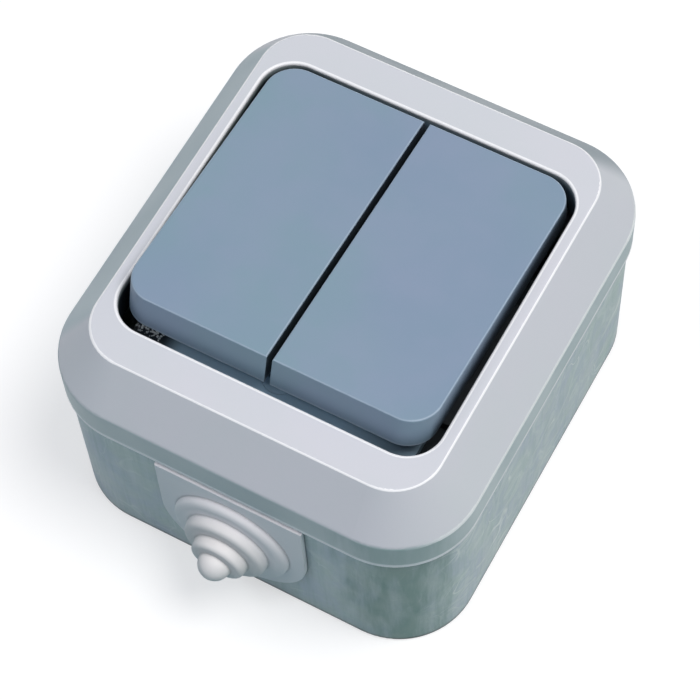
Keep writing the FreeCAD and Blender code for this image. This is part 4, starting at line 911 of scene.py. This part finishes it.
def buildSpringTree(look):
    tree, given, result = newTree("closedEndSpring", "GeometryNodeTree", {
        "Seed": geometry, "Coil Radius": 0.0016, "Wire Radius": 0.0002, "Turns": 7.0, "Height": 0.007,
        "Low": 0.001, "Place": (0, 0, 0), "Tilt": (0, 0, 0), "Finish": finish}, ["Shape"])
    coil = shapeNode(tree, "CurveSpiral", {
        "Resolution": look["turnSteps"], "Rotations": given["Turns"], "Height": given["Height"],
        "Start Radius": given["Coil Radius"], "End Radius": given["Coil Radius"]})
    where = shapeNode(tree, "SplineParameter")
    # one turn at each end lies flat, so the rise runs between them
    rest = over(tree, 1.0, given["Turns"])
    wire = times(tree, given["Wire Radius"], look["closedPitch"])
    lowTurn = times(tree, over(tree, where, rest, clamp=True), wire)
    endFactor = over(tree, minus(tree, plus(tree, where, rest), 1.0), rest, clamp=True)
    highTurn = times(tree, endFactor, wire)
    openHeight = minus(tree, given["Height"], times(tree, wire, 2.0))
    middle = addNode(tree, "ShaderNodeMapRange", {0: where, 1: rest, 2: minus(tree, 1.0, rest), 3: 0.0,
                                                  4: openHeight}).outputs[0]
    rise = plus(tree, plus(tree, lowTurn, middle), highTurn)
    flat = split(tree, shapeNode(tree, "InputPosition"))
    place = triple(tree, flat["X"], flat["Y"], plus(tree, rise, given["Low"]))
    shaped = shapeNode(tree, "SetPosition", {0: coil, "Position": place})
    bar = swept(tree, shaped, look["wireSides"], given["Wire Radius"])
    seated = shapeNode(tree, "Transform", {0: bar, "Rotation": given["Tilt"], "Translation": given["Place"]})
    closeTree(tree, seated, result, given["Finish"], sharp=look["sharp"])
    return tree


def makeSprings(look):
    tree = buildSpringTree(look)
    sizes = inputsFrom(look, ["Coil Radius", "Wire Radius", "Height", "Low"], ["Turns"])
    for side, sign in (("left", -1), ("right", 1)):
        values = sizes | {"Tilt": (math.radians(look["tilt"]), 0, 0),
                          "Place": Vector((sign * look["middle"], 0, look["pivot"])) * mm}
        seed = pointSeed("coilSeed", [(0, 0, 0)])
        coil = runTree("spring_coil_" + side, tree, values, seed, "spring_steel")
        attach(coil, side + "_rocker")
        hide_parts("plunger_spring_" + side)


makeSprings(springs)
print("springs made")


# Screws: threaded shank, slotted head, each turned at random as a driver left it

screws = [    # each tip is the low end of a shank
    {"name": "cover_screw_set", "node": "cover_screws", "tips": [(0, 20.0, 24.844), (0, -20.0, 24.844)],
     "length": 10.75, "shankRadius": 1.45, "threadPitch": 1.1, "seed": 4,
     "headLowRadius": 1.45, "headTopRadius": 2.7, "headHeight": 1.25},
    {"name": "foot_screw_set", "node": "mechanism_screws", "tips": [(-25, 0, 2.8), (25, 0, 2.8)],
     "length": 5.2, "shankRadius": 1.2, "threadPitch": 0.95, "seed": 7,
     "headLowRadius": 2.8, "headTopRadius": 2.8, "headHeight": 1.8},
    {"name": "clamp_screw_set", "node": "terminal_screws",
     "tips": [(-12.4, 14, 15.95), (12.4, 14, 15.95), (0, -14, 15.95)],
     "length": 5.5, "shankRadius": 1.6, "threadPitch": 0.7, "seed": 11,
     "headLowRadius": 2.7, "headTopRadius": 2.7, "headHeight": 2.0},
]
screwShape = {
    "slotWidth": 0.7, "slotDepth": 0.8, "threadDepth": 0.22, "swing": 0.5,    # swing in radians, either way
    "threaded": 0.86,      # share of the shank
    "threadLift": 1.2,     # of the first turn above the tip, in thread depths
    "slotReach": 2.4,      # length of the slot's cutter, in head radii
    "shankSides": 32, "headSides": 48, "turnSteps": 26, "ridgeSides": 3,
}


def buildScrewTree(look):
    tree, given, result = newTree("slottedScrews", "GeometryNodeTree", {
        "Tips": geometry, "Length": 0.01, "Shank Radius": 0.0015, "Head Low Radius": 0.002,
        "Head Top Radius": 0.003, "Head Height": 0.001, "Thread Pitch": 0.001, "Thread Depth": 0.0002,
        "Slot Width": 0.0007, "Slot Depth": 0.0008, "Swing": 0.5, "Seed": 1, "Finish": finish}, ["Shape"])
    length, headTop = given["Length"], given["Head Top Radius"]
    core = minus(tree, given["Shank Radius"], given["Thread Depth"])
    shank = shapeNode(tree, "MeshCylinder", {"Vertices": look["shankSides"], "Radius": core, "Depth": length})
    rod = movedBy(tree, shank, triple(tree, z=times(tree, length, 0.5)))
    threaded = times(tree, length, look["threaded"])
    turns = over(tree, threaded, given["Thread Pitch"])
    helix = shapeNode(tree, "CurveSpiral", {"Resolution": look["turnSteps"], "Rotations": turns,
                                            "Start Radius": core, "End Radius": core, "Height": threaded})
    lift = triple(tree, z=times(tree, given["Thread Depth"], look["threadLift"]))
    raised = movedBy(tree, swept(tree, helix, look["ridgeSides"], given["Thread Depth"]), lift)
    head = shapeNode(tree, "MeshCone", {
        "Vertices": look["headSides"], "Side Segments": 1, "Radius Top": headTop,
        "Radius Bottom": given["Head Low Radius"], "Depth": given["Head Height"]})
    seated = movedBy(tree, head, triple(tree, z=length))
    cutSize = triple(tree, times(tree, headTop, look["slotReach"]), given["Slot Width"],
                     times(tree, given["Slot Depth"], 2.0))
    bar = shapeNode(tree, "MeshCube", {0: cutSize})
    cutter = movedBy(tree, bar, triple(tree, z=plus(tree, length, given["Head Height"])))
    slotted = shapeNode(tree, "MeshBoolean", {0: seated, 1: cutter}, operation="DIFFERENCE")
    whole = shapeNode(tree, "JoinGeometry")
    for part in (slotted, raised, rod):
        tree.links.new(part, whole.node.inputs[0])
    points = shapeNode(tree, "MeshToPoints", {0: given["Tips"]})
    swing = chance(tree, given["Seed"], times(tree, given["Swing"], -1.0), given["Swing"])
    placed = shapeNode(tree, "InstanceOnPoints", {0: points, "Instance": whole,
                                                  "Rotation": triple(tree, z=swing)})
    closeTree(tree, placed, result, given["Finish"])
    return tree


def makeScrews(sets, shape):
    tree = buildScrewTree(shape)
    for look in sets:
        values = inputsFrom(look | shape, [
            "Length", "Shank Radius", "Head Low Radius", "Head Top Radius", "Head Height", "Thread Pitch",
            "Thread Depth", "Slot Width", "Slot Depth"], ["Swing", "Seed"])
        piece = runTree(look["name"], tree, values, pointSeed("tips", look["tips"]), "zinc_steel")
        if look["node"] == "cover_screws":
            paint(piece, makePlastic(plainSkin | coatedLook))
        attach(piece, "housing")
        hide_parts(look["node"])


makeScrews(screws, screwShape)
print("screws made")


# Moulding crumbs left in the corner of the window, on the end of the upper ledge: a grid of points
# over a patch, in millimetres, thinned out and nudged

crumbs = {
    "corner": (18.2, 21.9, 36.95), "size": (4.1, 1.0), "grid": (18, 6),
    "smallest": 0.08, "largest": 0.32, "kept": 0.42, "spread": 0.16, "lift": 0.4, "seed": 23,
    "flattest": (0.55, 0.55, 0.35), "roundest": (1.0, 1.0, 0.8), "turn": (0.5, 0.5, 6.28), "sharp": 0.5,
}


def buildCrumbTree(look):
    tree, given, result = newTree("scatteredCrumbs", "GeometryNodeTree", {
        "Places": geometry, "Smallest": 0.0001, "Largest": 0.0002, "Kept": 0.5, "Spread": 0.0001, "Seed": 1,
        "Finish": finish}, ["Shape"])
    points = shapeNode(tree, "MeshToPoints", {0: given["Places"]})
    gone = calc(tree, "GREATER_THAN", chance(tree, given["Seed"], 0.0, 1.0), given["Kept"])
    thinned = shapeNode(tree, "DeleteGeometry", {0: points, 1: gone}, domain="POINT")

    def nextSeed(step):
        return plus(tree, given["Seed"], step)

    back = times(tree, given["Spread"], -1.0)
    high = triple(tree, given["Spread"], given["Spread"], times(tree, given["Spread"], look["lift"]))
    nudge = chance(tree, nextSeed(1.0), triple(tree, back, back), high, "FLOAT_VECTOR")
    moved = shapeNode(tree, "SetPosition", {0: thinned, "Offset": nudge})
    grain = shapeNode(tree, "MeshIcoSphere", {"Radius": 1.0, "Subdivisions": 1})
    dent = chance(tree, nextSeed(2.0), look["flattest"], look["roundest"], "FLOAT_VECTOR")
    size = chance(tree, nextSeed(3.0), given["Smallest"], given["Largest"])
    shape = vectorStep(tree, "SCALE", dent, size, socket="Scale")
    turn = chance(tree, nextSeed(4.0), (0, 0, 0), look["turn"], "FLOAT_VECTOR")
    placed = shapeNode(tree, "InstanceOnPoints", {0: moved, "Instance": grain, "Rotation": turn,
                                                  "Scale": shape})
    closeTree(tree, placed, result, given["Finish"], sharp=look["sharp"])
    return tree


def makeCrumbs(look):
    x, y, z = look["corner"]
    across, along = look["grid"]
    places = [(x + look["size"][0] * i / (across - 1), y + look["size"][1] * j / (along - 1), z)
              for i in range(across) for j in range(along)]
    values = inputsFrom(look, ["Smallest", "Largest", "Spread"], ["Kept", "Seed"])
    seed = pointSeed("crumbPlaces", places)
    piece = runTree("corner_crumbs", buildCrumbTree(look), values, seed, "cover_plastic")
    paint(piece, makePlastic(plainSkin | crumbLook))
    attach(piece, "housing")


makeCrumbs(crumbs)
print("crumbs scattered")
